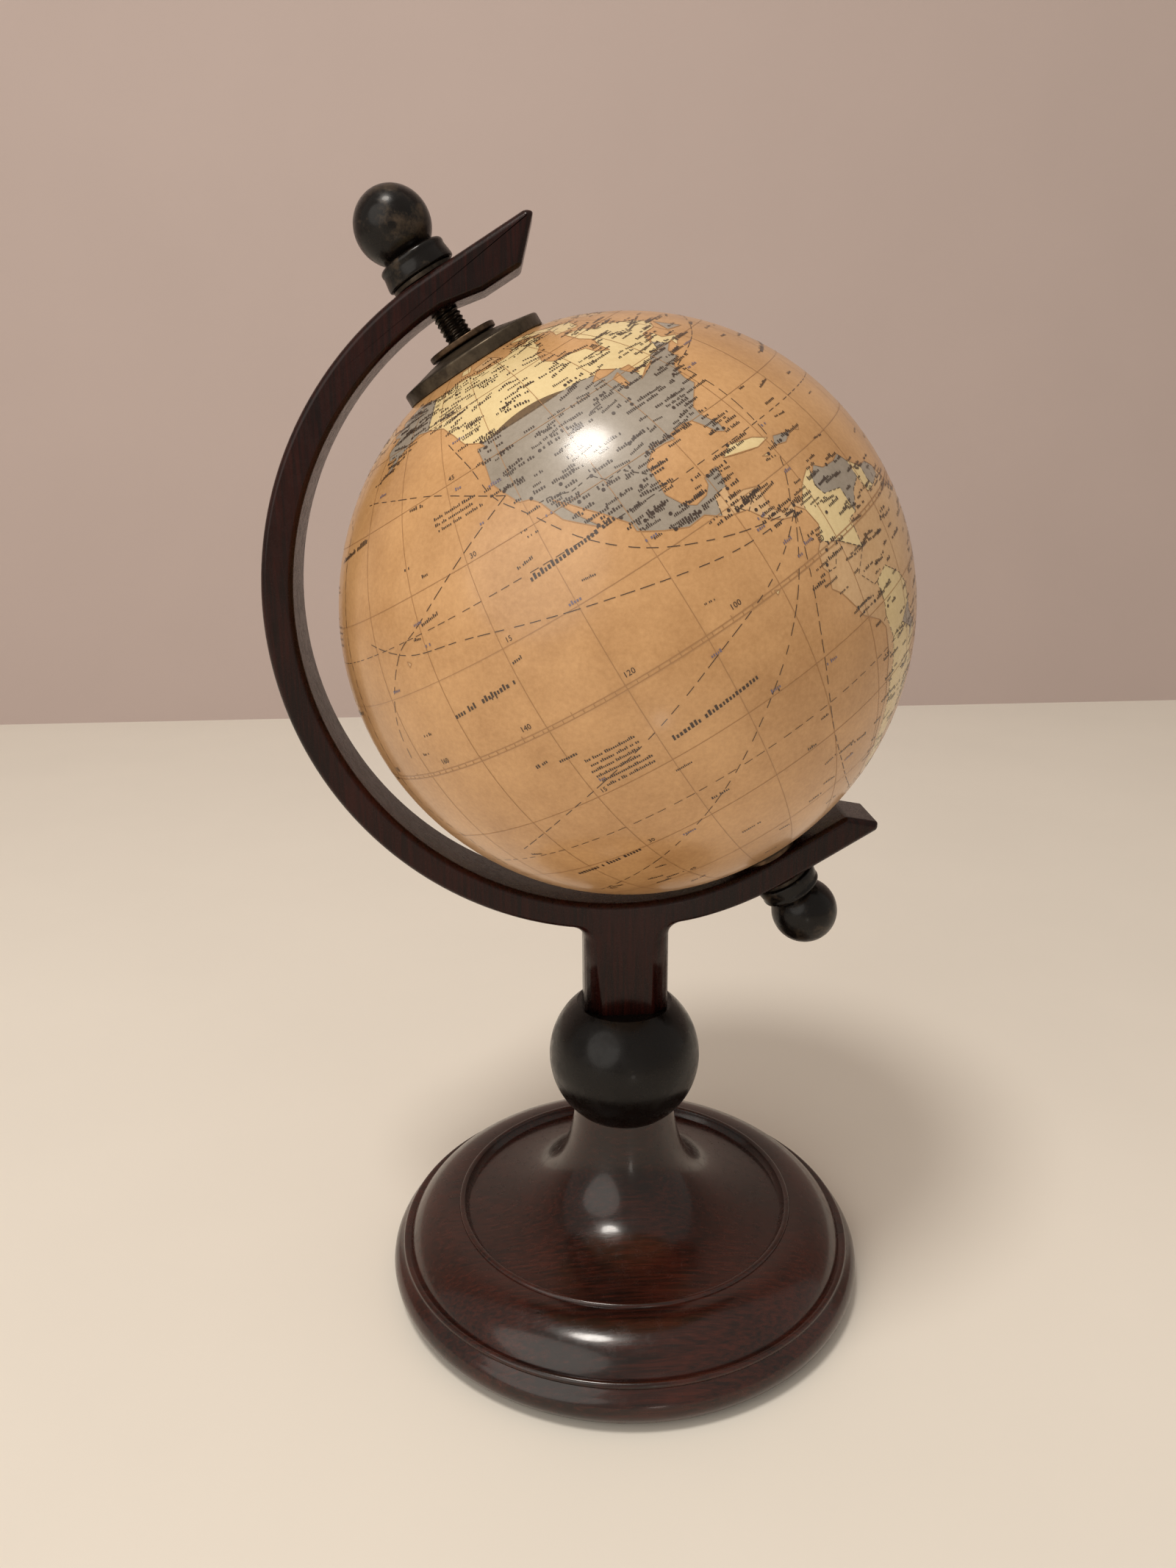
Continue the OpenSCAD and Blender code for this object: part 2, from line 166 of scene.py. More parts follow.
    "madagascar": "49.3,-12 50.4,-15.8 47.2,-25 43.7,-23.5 44.4,-16.5",
    "ceylon": "79.8,8 81.8,7.5 80.5,6",
    "tasmania": "144.7,-40.8 148.3,-41 146.8,-43.6",
    "north island": "172.8,-34.5 175.8,-37 178.5,-37.8 175.3,-41.6 173.9,-39.3",
    "south island": "172.7,-40.6 174.2,-41.7 170.7,-46 166.6,-46 168.3,-44",
}

LAKES = {
    "black": "28,43.5 28.5,41.3 35,42 41.5,41.5 38.5,44.5 33.5,46 30.5,46",
    "caspian": "50,45.5 53,46.8 51,44.5 53.8,40 54,37 49.5,37.5 49.8,41 47,44.5",
    "superior": "-92,46.8 -88,48.8 -84.8,46.6 -88,46.4",
    "michigan": "-87.8,42 -86.3,42 -85.5,45.7 -87.8,45",
    "huron": "-84.3,46 -81.5,45.8 -81.8,43.2 -83.5,44.5",
    "erie": "-83.3,41.7 -79,42.9 -76.5,43.8 -79.5,43.3",
}

# frontiers, one run of points after another; their ends may run out to sea
BORDERS = """-141,69.8 -141,60.3 -137,58.9 -130.4,54.4 ; -123.3,48.9 -95.2,49 -89.5,48 -84.5,46.5 -82.5,45.3 -82.5,42
    -79,42.8 -76.5,44.1 -74.7,45 -71.4,45.1 -69.2,47.4 -67.8,45.8 -66.8,44.6 ; -117.3,32.6 -114.8,32.5
    -111,31.3 -106.5,31.8 -104.5,29.6 -101.4,29.8 -97.1,25.9 ; -92.4,13.4 -91.5,16.1 -90.9,17.8
    -89.1,17.9 -87.6,18 ; -88.9,16.4 -89.2,14.6 -88,13 -87.4,12.4 ; -87.6,12.6 -85.5,14 -83,15 ;
    -86,10.9 -84,11 -83.5,10.9 ; -77.2,8.9 -78,7 ; -71.2,12.6 -72.8,9.2 -72,7.2 -67.5,6.1 -67.2,1.2 ;
    -79,1.9 -77.2,0.6 -75.5,0 -78.3,-3.5 -80.6,-3.3 ; -75.5,0 -70,-4.2 -69.5,1.1 -67.2,1.2 ; -70,-4.2
    -73.8,-7.3 -70.6,-11 -69.5,-11 ; -69.5,-11 -69,-15.3 -69.5,-17.6 -70.8,-18.4 ; -69.5,-17.6
    -67.8,-22.8 ; -69.5,-11 -65.3,-10 -60.2,-13.7 -58.2,-16.3 -57.8,-19.8 -62.6,-22.2 -67.8,-22.8 ;
    -67.8,-22.8 -68.5,-27 -70,-31 -70.2,-35 -71.5,-40 -72,-47 -72.3,-51 -68.1,-52.5 -68.4,-56 ;
    -62.6,-22.2 -57.7,-25.3 -58.6,-27.3 -54.6,-25.5 -57.8,-22.1 -57.8,-19.8 ; -54.6,-25.5 -54,-27.2
    -57.6,-30.2 -58.4,-34.3 ; -57.6,-30.2 -53.4,-33.7 -53,-34.5 ; -60.4,9 -60.7,5.2 -64,4.2 -67.2,1.2 ;
    -60.7,5.2 -59.8,1.9 -56.5,1.9 -52,2.5 -51.3,4.6 ; -57,6.5 -57.5,3.5 -56.5,1.9 ; -54,6.2 -54.4,2.3 ;
    12,58.8 12,64 16,68 21,69.2 29,69.5 31,70.5 ; 24.3,65.2 21,69.2 ; 29,69.5 30,64 30,60.6 28,59.4 ;
    -2,43.6 3.4,42.2 ; 7.5,43.4 7,46 8,49 6,51 3,51.6 ; 15,54.2 15,51 19,49.4 24,50.5 23.5,54 20,54.8 ;
    24,50.5 28,56 28,59.4 ; 24,50.5 30,52 38,49.5 38.5,46.6 ; 7,46 16,46.6 13,45.2 ; 16,46.6 22,48.2
    24,50.5 ; 22,48.2 29,45.2 22,44.5 20,41.6 19,41.8 ; 28.2,42 26,41 26,39.8 ; 42,41.8 45,40 48,39.5
    49,38.3 ; 36.2,36.2 42,37.2 45,40 ; 42,37.2 46,34 48.4,30 ; 34.2,31 39,32.3 47,29.6 49,29 ;
    42.8,16.4 52,19 55.4,17.3 ; 61.6,25 61,31 61,36 54,37.3 ; 61,36 66.5,37.5 71,38 75,37 69,31.5
    62,29.6 ; 75,37 70,28 68,23.6 ; 49,45.8 48,50 55,51.3 61.5,51 69,55 77,53.8 87,49.2 80,45 80,42
    71,42 66,43 56,45 53.4,41.8 ; 71,42 75,37 ; 80,42 75,37 79,32.5 88,27.8 97,28 97.5,24 92.3,21 ;
    97,28 99.5,22 102,21.5 108,21.6 ; 99.5,22 98,17 99,11.8 ; 102,21.5 105,15 103,11.8 ; 87,49.2 98,50.5
    110,49.3 116,49.8 111.5,44.5 105,41.6 96,42.7 90.5,45.5 87,49.2 ; 116,49.8 121,53.2 127,50 131,47.8
    131,43 ; 124,40 130.8,42.4 ; -2,35 -2,32 -8.6,28 -13.4,27.8 ; 8.5,36.9 8,33 9.5,30 12,23.5 3,19
    -8.6,27.3 ; 11.3,33.2 9.5,30 ; 25,31.9 25,22 37,22 ; 25,22 24,20 15,23.4 12,23.5 ; 24,20 24,15.7
    22,11 24,8.7 34,8 36,14 38.7,18 ; 15,23.4 13.5,14 14,10 9,4.2 ; 13.5,14 3,12 2.7,6 ; 3,12 -4,15
    -12,15 -16.7,16 ; 3,19 3,12 ; -4,15 -7,10 -8,4.2 ; 14,10 18,4 10,2 ; 18,4 27,5 31,3 30,-4 29,-9
    24,-11 16,-6 11.8,-5.8 ; 24,8.7 27,5 ; 31,3 35,5 42,4 44,8.5 48,8 51.5,11 ; 34,8 35,5 ; 42,4 41,-1.8
    ; 30,-1 34,-1 39.5,-4.7 ; 30,-4 33,-9 40.8,-10.6 ; 33,-9 33,-14 30,-15.8 35,-16 35.5,-22 ; 24,-11
    22,-16 30,-15.8 ; 11.5,-17.2 22,-17.6 25,-18 22,-16 ; 21,-18 20,-28.5 16,-28.8 ; 25,-18 29,-22
    32.8,-26 ; 20,-25 29,-22 ; 129,-14.6 129,-32 ; 129,-26 141,-26 ; 138,-16.6 138,-26 ; 141,-26
    141,-38.4 ; 141,-29 154,-28.5 ; 141,-34 150,-37.6 ; 141,-2 141,-9.4 ; 109.5,1.8 114,1.2 117.8,4.2"""

# a place in each land whose tint is known: longitude, latitude, tint
TINTS = """-105,58 1|-152,65 2|-98,39 2|-103,24 2|-90.3,15.5 1|-86.8,14.9 3|-85.2,12.8 2|-84,10 1|-81,8.3 3
-73,4 1|-65,7 2|-78,-1.2 3|-75.5,-9 2|-52,-10 3|-64.5,-17 1|-65,-35 2|-71,-36 3|-58.5,-23.5 2|-56,-33 1
-78.5,22 1|-71,19 2|-72,68 1|-40,70 3|135,-25 1|60,62 1|100,32 2|78,22 1|45,24 3|0,-75 1"""

CITIES = """-99.1,19.4 -82.4,23.1 -90.5,14.6 -89.2,13.7 -87.2,14.1 -88.2,17.5 -86.3,12.1 -84.1,9.9 -79.5,9
-78.5,-0.2 -74.1,4.6 -66.9,10.5 -77,-12 -79.9,-2.2 -72,-13.5 -68.1,-16.5 -70.6,-33.4 -58.4,-34.6 -56.2,-34.9
-43.2,-22.9 -46.6,-23.5 -38.5,-13 -34.9,-8 -48.5,-1.4 -60,-3.1 -47.9,-15.8 -57.6,-25.3 -76.8,18 -69.9,18.5
-72.3,18.5 -80.2,25.8 -90,30 -95.4,29.8 -96.8,32.8 -104.9,39.7 -112,33.4 -118.2,34 -122.4,37.8 -122.3,47.6
-123,49.3 -113.5,53.5 -97.1,49.9 -79.4,43.7 -73.6,45.5 -71,42.4 -74,40.7 -77,38.9 -84.4,33.7 -87.6,41.9
-90.2,38.6 -94.6,39.1 -111.9,40.8 -106.4,31.7 -100.3,25.7 -103.3,20.7 -106.4,23.2 -110.3,24.1 -96.1,19.2
-94.8,17 -99.9,16.9 -89.6,21 -149.9,61.2 -147.7,64.8 -135,60.7 -63.6,44.6 -101.7,21.1 -106.1,28.6 -110.9,29.1
-0.1,51.5 2.3,48.9 -3.7,40.4 12.5,41.9 13.4,52.5 21,52.2 30.3,59.9 37.6,55.8 30.5,50.4 23.7,38 29,41 32.9,39.9
31.2,30 3,36.8 13.2,32.9 -7.6,33.6 -17.4,14.7 3.4,6.5 7.5,9 15.3,-4.3 36.8,-1.3 39.3,-6.8 28,-26.2 18.4,-33.9
31,-17.8 38.7,9 44.4,33.3 51.4,35.7 46.7,24.6 67,24.9 72.8,19 77.2,28.6 88.4,22.6 80.3,13.1 96.2,16.8 100.5,13.7
106.7,10.8 105.8,21 113.5,23 121.5,31.2 116.4,39.9 127,37.5 139.7,35.7 135.5,34.7 131.9,43.1 106.9,47.9 82.9,55
69.3,41.3 104.3,52.3 121,14.6 106.8,-6.2 147.2,-9.4 115.9,-32 138.6,-34.9 145,-37.8 151.2,-33.9 153,-27.5
130.8,-12.5 174.8,-36.8 174.8,-41.3"""

ROUTES = """-80,8.3 -90,2 -104,-3 -120,-9 -140,-15 -160,-21
-80,8.3 -88,-3 -98,-13 -115,-26 -135,-35 -160,-41
-80,8.3 -84,-2 -88,-15 -90,-30 -86,-45 -78,-55
-80,8.3 -95,9 -118,14 -140,19 -155,21 -168,26
-80,8.3 -92,11 -104,16 -113,23 -120,32 -125,38 -128,46 -133,54
-122.5,37 -135,32 -150,25 -158,21.5 -166,12 -168,4
-122.5,37 -140,45 -160,50 -168,51
-79.6,9.8 -76,15 -74,20 -73,30 -73.5,40
-73.5,40 -60,43 -40,48 -15,50.5 -6,49.6
-34,-7 -30,5 -22,20 -12,34 -8,43
-34,-7 -36,-18 -43,-25 -55,-38 -63,-50 -66,-57
-17.6,12 -5,2 5,-15 15,-30 19,-36
52,12 65,8 80,4 95,6 104,0 112,8 118,20 124,30
115,-34 95,-38 60,-40 35,-37
153,-33 165,-37 180,-36 190,-35"""


def points_of(text):
    """Reads longitude and latitude pairs."""
    return [tuple(float(v) for v in pair.split(",")) for pair in text.split()]


def colour(value):
    """Linear colour of an sRGB hex value."""
    parts = [int(value[i:i + 2], 16) / 255 for i in (1, 3, 5)]
    return tuple(p / 12.92 if p <= 0.04045 else ((p + 0.055) / 1.055) ** 2.4 for p in parts) + (1.0,)


def add(tree, kind, values=None, **settings):
    """Adds a node, sets its options, and gives its inputs a value or a link."""
    made = tree.nodes.new("ShaderNode" + kind)
    for option, value in settings.items():
        setattr(made, option, value)
    for socket, value in (values or {}).items():
        if isinstance(value, bpy.types.NodeSocket):
            tree.links.new(value, made.inputs[socket])
        else:
            made.inputs[socket].default_value = value
    return made


def fresh(name):
    """A new material with its shader and nothing else."""
    made = bpy.data.materials.new(name)
    made.use_nodes = True
    return made, made.node_tree, made.node_tree.nodes["Principled BSDF"]


def finish_of(shader, tree, values, bump=None, depth=0.02):
    """Sets the shader's sockets, and a bump of the given depth in mm."""
    for socket, value in values.items():
        if isinstance(value, bpy.types.NodeSocket):
            tree.links.new(value, shader.inputs[socket])
        else:
            shader.inputs[socket].default_value = value
    if bump is not None:
        raised = add(tree, "Bump", {"Strength": 1.0, "Distance": depth * MM, "Height": bump})
        tree.links.new(raised.outputs["Normal"], shader.inputs["Normal"])


def per_mm(size):
    """Texture scale that makes a feature of this size in mm."""
    return 1 / (size * MM)


def varnished_paper(name, deep, pale):
    """Printed paper gores under varnish: mottled ink, a fine tooth, a clear gloss."""
    made, tree, shader = fresh(name)
    place = add(tree, "TexCoord").outputs["Object"]
    cloud = add(tree, "TexNoise", {"Vector": place, "Scale": per_mm(22), "Detail": 5.0, "Roughness": 0.62})
    fibre = add(tree, "TexNoise", {"Vector": place, "Scale": per_mm(0.9), "Detail": 3.0, "Roughness": 0.7})
    mixed = add(tree, "Math", {0: fibre.outputs["Fac"], 1: 0.45, 2: cloud.outputs["Fac"]},
                operation="MULTIPLY_ADD")
    spread = add(tree, "MapRange", {"Value": mixed.outputs[0], "From Min": 0.52, "From Max": 0.92})
    tint = add(tree, "Mix", {0: spread.outputs[0], 6: colour(deep), 7: colour(pale)}, data_type="RGBA")
    finish_of(shader, tree, {
        "Base Color": tint.outputs[2], "Roughness": 0.42, "IOR": 1.5,
        "Coat Weight": 0.6, "Coat Roughness": 0.17,
    }, fibre.outputs["Fac"], 0.012)
    return made


def polished_wood(name, deep, red, grain, gloss, reds=0.5, coat=0.3, shine=0.35):
    """Turned or sawn mahogany, stained and lacquered: dark grain lines, a red depth, fine scratches."""
    made, tree, shader = fresh(name)
    place = add(tree, "TexCoord").outputs["Object"]
    laid = add(tree, "Mapping", {"Vector": place, "Scale": grain})
    line = add(tree, "TexNoise", {"Vector": laid.outputs[0], "Scale": 1.0, "Detail": 6.0, "Roughness": 0.6,
                                  "Distortion": 0.4})
    cloud = add(tree, "TexNoise", {"Vector": place, "Scale": per_mm(28), "Detail": 2.0})
    both = add(tree, "Math", {0: cloud.outputs["Fac"], 1: 0.6, 2: line.outputs["Fac"]},
               operation="MULTIPLY_ADD")
    spread = add(tree, "MapRange", {"Value": both.outputs[0], "From Min": 0.62 + 0.1 * (1 - reds),
                                    "From Max": 1.02})
    tint = add(tree, "Mix", {0: spread.outputs[0], 6: colour(deep), 7: colour(red)}, data_type="RGBA")
    wear = add(tree, "TexNoise", {"Vector": place, "Scale": per_mm(2.4), "Detail": 8.0, "Roughness": 0.75})
    dull = add(tree, "MapRange", {"Value": wear.outputs["Fac"], "From Min": 0.45, "From Max": 0.75,
                                  "To Min": gloss, "To Max": gloss + 0.16})
    finish_of(shader, tree, {
        "Base Color": tint.outputs[2], "Roughness": dull.outputs[0], "IOR": 1.5,
        "Specular IOR Level": shine, "Coat Weight": coat, "Coat Roughness": 0.1,
    }, line.outputs["Fac"], 0.02)
    return made


def worn_lacquer(name, black, bare, amount):
    """Black lacquer on wood, rubbed through in patches by fingers."""
    made, tree, shader = fresh(name)
    place = add(tree, "TexCoord").outputs["Object"]
    rub = add(tree, "TexNoise", {"Vector": place, "Scale": per_mm(5), "Detail": 7.0, "Roughness": 0.68})
    worn = add(tree, "MapRange", {"Value": rub.outputs["Fac"], "From Min": 0.66 - amount * 0.16,
                                  "From Max": 0.74 - amount * 0.1})
    tint = add(tree, "Mix", {0: worn.outputs[0], 6: colour(black), 7: colour(bare)}, data_type="RGBA")
    dull = add(tree, "MapRange", {"Value": rub.outputs["Fac"], "From Min": 0.4, "From Max": 0.7,
                                  "To Min": 0.2, "To Max": 0.48})
    finish_of(shader, tree, {
        "Base Color": tint.outputs[2], "Roughness": dull.outputs[0], "IOR": 1.5,
        "Specular IOR Level": 0.22, "Coat Weight": 0.08, "Coat Roughness": 0.08,
    }, rub.outputs["Fac"], 0.03)
    return made


def aged_metal(name, dark, light, rough, metallic=1.0, size=3.0):
    """Turned metal, darkened with age: soft cloudy patina with brighter rubbed spots."""
    made, tree, shader = fresh(name)
    place = add(tree, "TexCoord").outputs["Object"]
    age = add(tree, "TexNoise", {"Vector": place, "Scale": per_mm(size), "Detail": 6.0, "Roughness": 0.65})
    spread = add(tree, "MapRange", {"Value": age.outputs["Fac"], "From Min": 0.36, "From Max": 0.68})
    tint = add(tree, "Mix", {0: spread.outputs[0], 6: colour(dark), 7: colour(light)}, data_type="RGBA")
    dull = add(tree, "MapRange", {"Value": spread.outputs[0], "To Min": rough + 0.1, "To Max": rough - 0.06})
    finish_of(shader, tree, {
        "Base Color": tint.outputs[2], "Roughness": dull.outputs[0], "Metallic": metallic,
    }, age.outputs["Fac"], 0.01)
    return made


def fibrous(name, dark, light, size, rough, depth):
    """Felt, board or nylon: a matt body with a fine random tooth."""
    made, tree, shader = fresh(name)
    place = add(tree, "TexCoord").outputs["Object"]
    tooth = add(tree, "TexNoise", {"Vector": place, "Scale": per_mm(size), "Detail": 6.0, "Roughness": 0.7})
    tint = add(tree, "Mix", {0: tooth.outputs["Fac"], 6: colour(dark), 7: colour(light)}, data_type="RGBA")
    finish_of(shader, tree, {"Base Color": tint.outputs[2], "Roughness": rough},
              tooth.outputs["Fac"], depth)
    return made


def plain_ink(name, value):
    """Printing ink under the varnish: one flat colour with crisp edges."""
    made, tree, shader = fresh(name)
    finish_of(shader, tree, {"Base Color": colour(value), "Roughness": 0.4, "Coat Weight": 0.6,
                             "Coat Roughness": 0.12})
    return made


def arc(x, y, r, start, end, steps=10):
    """Points along an arc about (x, y), angles in degrees."""
    turns = [math.radians(start + (end - start) * i / steps) for i in range(steps + 1)]
    return [(x + r * math.cos(t), y + r * math.sin(t)) for t in turns]


def piece_of(name, mesh, body, nodes, material, place=Matrix.Identity(4)):
    """Makes the mesh a piece that rides on its body and stands for its CAD nodes."""
    mesh.transform(place)
    made = bpy.data.objects.new(name, mesh)
    bpy.context.scene.collection.objects.link(made)
    made.data.materials.append(material)
    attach(made, body)
    if nodes:
        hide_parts(*nodes)
    return made


def turned(name, profile, steps=128):
    """Turns a closed run of (radius, height) points in mm about Z."""
    form = bmesh.new()
    rings = []
    for r, z in profile:
        if r < 1e-6:
            rings.append([form.verts.new((0, 0, z * MM))])
            continue
        angles = [2 * math.pi * i / steps for i in range(steps)]
        rings.append([form.verts.new((r * MM * math.cos(a), r * MM * math.sin(a), z * MM)) for a in angles])
    for low, high in zip(rings, rings[1:] + rings[:1]):
        for i in range(steps):
            k = (i + 1) % steps
            corners = [low[i % len(low)], low[k % len(low)], high[k % len(high)], high[i % len(high)]]
            unique = list(dict.fromkeys(corners))
            if len(unique) > 2:
                form.faces.new(unique)
    bmesh.ops.recalc_face_normals(form, faces=form.faces)
    return as_mesh(form, name)


def as_mesh(form, name, crease=32):
    """Turns the bmesh into a smooth mesh with sharp edges above the crease angle."""
    mesh = bpy.data.meshes.new(name)
    form.to_mesh(mesh)
    form.free()
    mesh.shade_smooth()
    if crease:
        mesh.set_sharp_from_angle(angle=math.radians(crease))
    return mesh


def screw(name, low, high, r, depth, pitch, chamfer=0.6, steps=32):
    """A threaded rod along Z: a helical ridge that runs out at both ends."""
    form = bmesh.new()
    rows = int(round((high - low) / pitch * 8))
    rings = []
    for k in range(rows + 1):
        z = low + (high - low) * k / rows
        edge = min(z - low, high - z)
        ring = []
        for i in range(steps):
            a = 2 * math.pi * i / steps
            phase = (z / pitch - i / steps) % 1.0
            cut = depth * abs(2 * phase - 1)
            cone = max(0.0, chamfer - edge)
            ring.append(form.verts.new(((r - cut - cone) * MM * math.cos(a),
                                        (r - cut - cone) * MM * math.sin(a), z * MM)))
        rings.append(ring)
    for one, two in zip(rings, rings[1:]):
        for i in range(steps):
            k = (i + 1) % steps
            form.faces.new((one[i], one[k], two[k], two[i]))
    form.faces.new(rings[0][::-1])
    form.faces.new(rings[-1])
    return as_mesh(form, name, 40)


def base_profile():
    """The turned base from its bolt hole round the foot, beads and dome to the neck."""
    dish = []
    for i in range(40):
        r = 40.6 + (12.41 - 40.6) * (i / 39) ** 0.8
        dish.append((r, 6.9 + 61.35 / math.sqrt(r - 10)))
    return (
        [(4.2, 10), (12, 10), (12, 1.4), (12.4, 1), (55.2, 1)]
        + arc(55.9, 5.6, 4.6, -90, 62)
        + arc(57.0, 10.7, 0.9, -35, 120, 8)
        + arc(43.5, 5.5, 13.7, 25, 88, 24)
        + arc(42.4, 19.2, 0.8, 0, 180, 8)
        + dish
        + [(12.0, NECK_Z), (4.2, NECK_Z)]
    )


def knob_profile(bore):
    """A turned knob from the foot of its collar to the top of its ball."""
    return (
        [(bore, 0), (7.1, 0)]
        + arc(7.2, 0.4, 0.4, -90, 0, 4)
        + [(7.6, 0.7), (7.45, 1.7), (7.3, 2.6)]
        + arc(6.4, 3.6, 0.95, -30, 90, 8)
        + [(5.75, 4.62)]
        + arc(0, 10.8, 8, -47.5, 90, 40)
        + [(0, 13.4), (bore, 13.2)]
    )


def at_knob(side, out):
    """Where a knob or its washer stands on the axis: side 1 is the top."""
    seat = TOP_SEAT if side > 0 else LOW_SEAT
    place = AXIS @ Matrix.Translation((0, 0, (seat + side * out) * MM))
    return place if side > 0 else place @ Matrix.Rotation(math.pi, 4, "X")


def on_globe(lon, lat, lift=0.0):
    """The point of the map at a longitude and latitude, lifted by some mm."""
    a = math.radians(lon + MAP_TURN)
    b = math.radians(lat)
    r = (GLOBE_R + lift) * MM
    return AXIS @ Vector((r * math.cos(b) * math.cos(a), r * math.cos(b) * math.sin(a), r * math.sin(b)))


def inside(point, ring):
    """Whether a point lies within a ring of points."""
    x, y = point
    hit = False
    for (x1, y1), (x2, y2) in zip(ring, ring[1:] + ring[:1]):
        if (y1 > y) != (y2 > y) and x < (x2 - x1) * (y - y1) / (y2 - y1) + x1:
            hit = not hit
    return hit


def land_regions(step):
    """Cuts the map into triangles, and groups them into seas and lands between coasts and borders."""
    places, edges = [], []

    def line_in(points, closed):
        first = len(places)
        places.extend(Vector(p) for p in points)
        last = len(places) - 1
        edges.extend((i, i + 1) for i in range(first, last))
        if closed:
            edges.append((last, first))

    coasts = [points_of(text) for text in COASTS.values()]
    lakes = [points_of(text) for text in LAKES.values()]
    for ring in coasts + lakes:
        line_in(ring, True)
    for row in BORDERS.split(";"):
        line_in(points_of(row), False)
    cols = round((MAP_EAST - MAP_WEST) / step)
    rows = round((MAP_NORTH - MAP_SOUTH) / step)
    for i in range(cols + 1):
        for k in range(rows + 1):
            places.append(Vector((MAP_WEST + (MAP_EAST - MAP_WEST) * i / cols,
                                  MAP_SOUTH + (MAP_NORTH - MAP_SOUTH) * k / rows)))
    verts, found, faces, _, source, _ = delaunay_2d_cdt(places, edges, [], 0, 1e-5)
    walls = {tuple(sorted(e)) for e, origin in zip(found, source) if origin}
    beside = {}
    for f, face in enumerate(faces):
        for a, b in zip(face, list(face[1:]) + [face[0]]):
            beside.setdefault(tuple(sorted((a, b))), []).append(f)
    region = [-1] * len(faces)
    count = 0
    for start in range(len(faces)):
        if region[start] >= 0:
            continue
        region[start] = count
        todo = [start]
        while todo:
            f = todo.pop()
            face = faces[f]
            for a, b in zip(face, list(face[1:]) + [face[0]]):
                key = tuple(sorted((a, b)))
                if key in walls:
                    continue
                for g in beside[key]:
                    if region[g] < 0:
                        region[g] = count
                        todo.append(g)
        count += 1
    largest = {}
    for f, face in enumerate(faces):
        a, b, c = (verts[v] for v in face[:3])
        area = abs((b - a).cross(c - a))
        if area > largest.get(region[f], (0, 0))[0]:
            largest[region[f]] = (area, f)
    land = {}
    for r, (area, f) in largest.items():
        middle = sum((verts[v] for v in faces[f]), Vector((0, 0))) / len(faces[f])
        land[r] = any(inside(middle, ring) for ring in coasts) and not any(inside(middle, g) for g in lakes)
    tint = {r: SEA for r in land if not land[r]}
    for item in TINTS.replace("\n", "|").split("|"):
        place, wanted = item.split()
        point = Vector(float(v) for v in place.split(","))
        for f, face in enumerate(faces):
            if intersect_point_tri_2d(point, *(verts[v] for v in face[:3])):
                if land.get(region[f]):
                    tint[region[f]] = int(wanted)
                break
    neighbours = {}
    for key, both in beside.items():
        if len(both) == 2:
            a, b = (region[f] for f in both)
            neighbours.setdefault(a, set()).add(b)
            neighbours.setdefault(b, set()).add(a)
    for r in sorted(land):
        if r not in tint:
            used = [tint.get(n) for n in neighbours.get(r, ())]
            free = [t for t in (CREAM, GREY, BUFF) if t not in used] or [CREAM]
            tint[r] = free[r % len(free)]
    return verts, faces, [tint.get(r, SEA) for r in region], coasts, lakes


def skin_mesh(name, verts, faces):
    """A patch of the globe's skin with its flat map as UVs and true round normals."""
    used = sorted({v for face in faces for v in face})
    index = {v: i for i, v in enumerate(used)}
    mesh = bpy.data.meshes.new(name)
    spots = [on_globe(*verts[v]) for v in used]
    mesh.from_pydata(spots, [], [[index[v] for v in face] for face in faces])
    layer = mesh.uv_layers.new(name="OFBake")
    for loop in mesh.loops:
        lon, lat = verts[used[loop.vertex_index]]
        layer.data[loop.index].uv = ((lon - MAP_WEST) / 360, (lat + 90) / 180)
    mesh.shade_smooth()
    centre = Vector((0, 0, GLOBE_Z * MM))
    mesh.normals_split_custom_set_from_vertices([(s - centre).normalized() for s in spots])
    return mesh


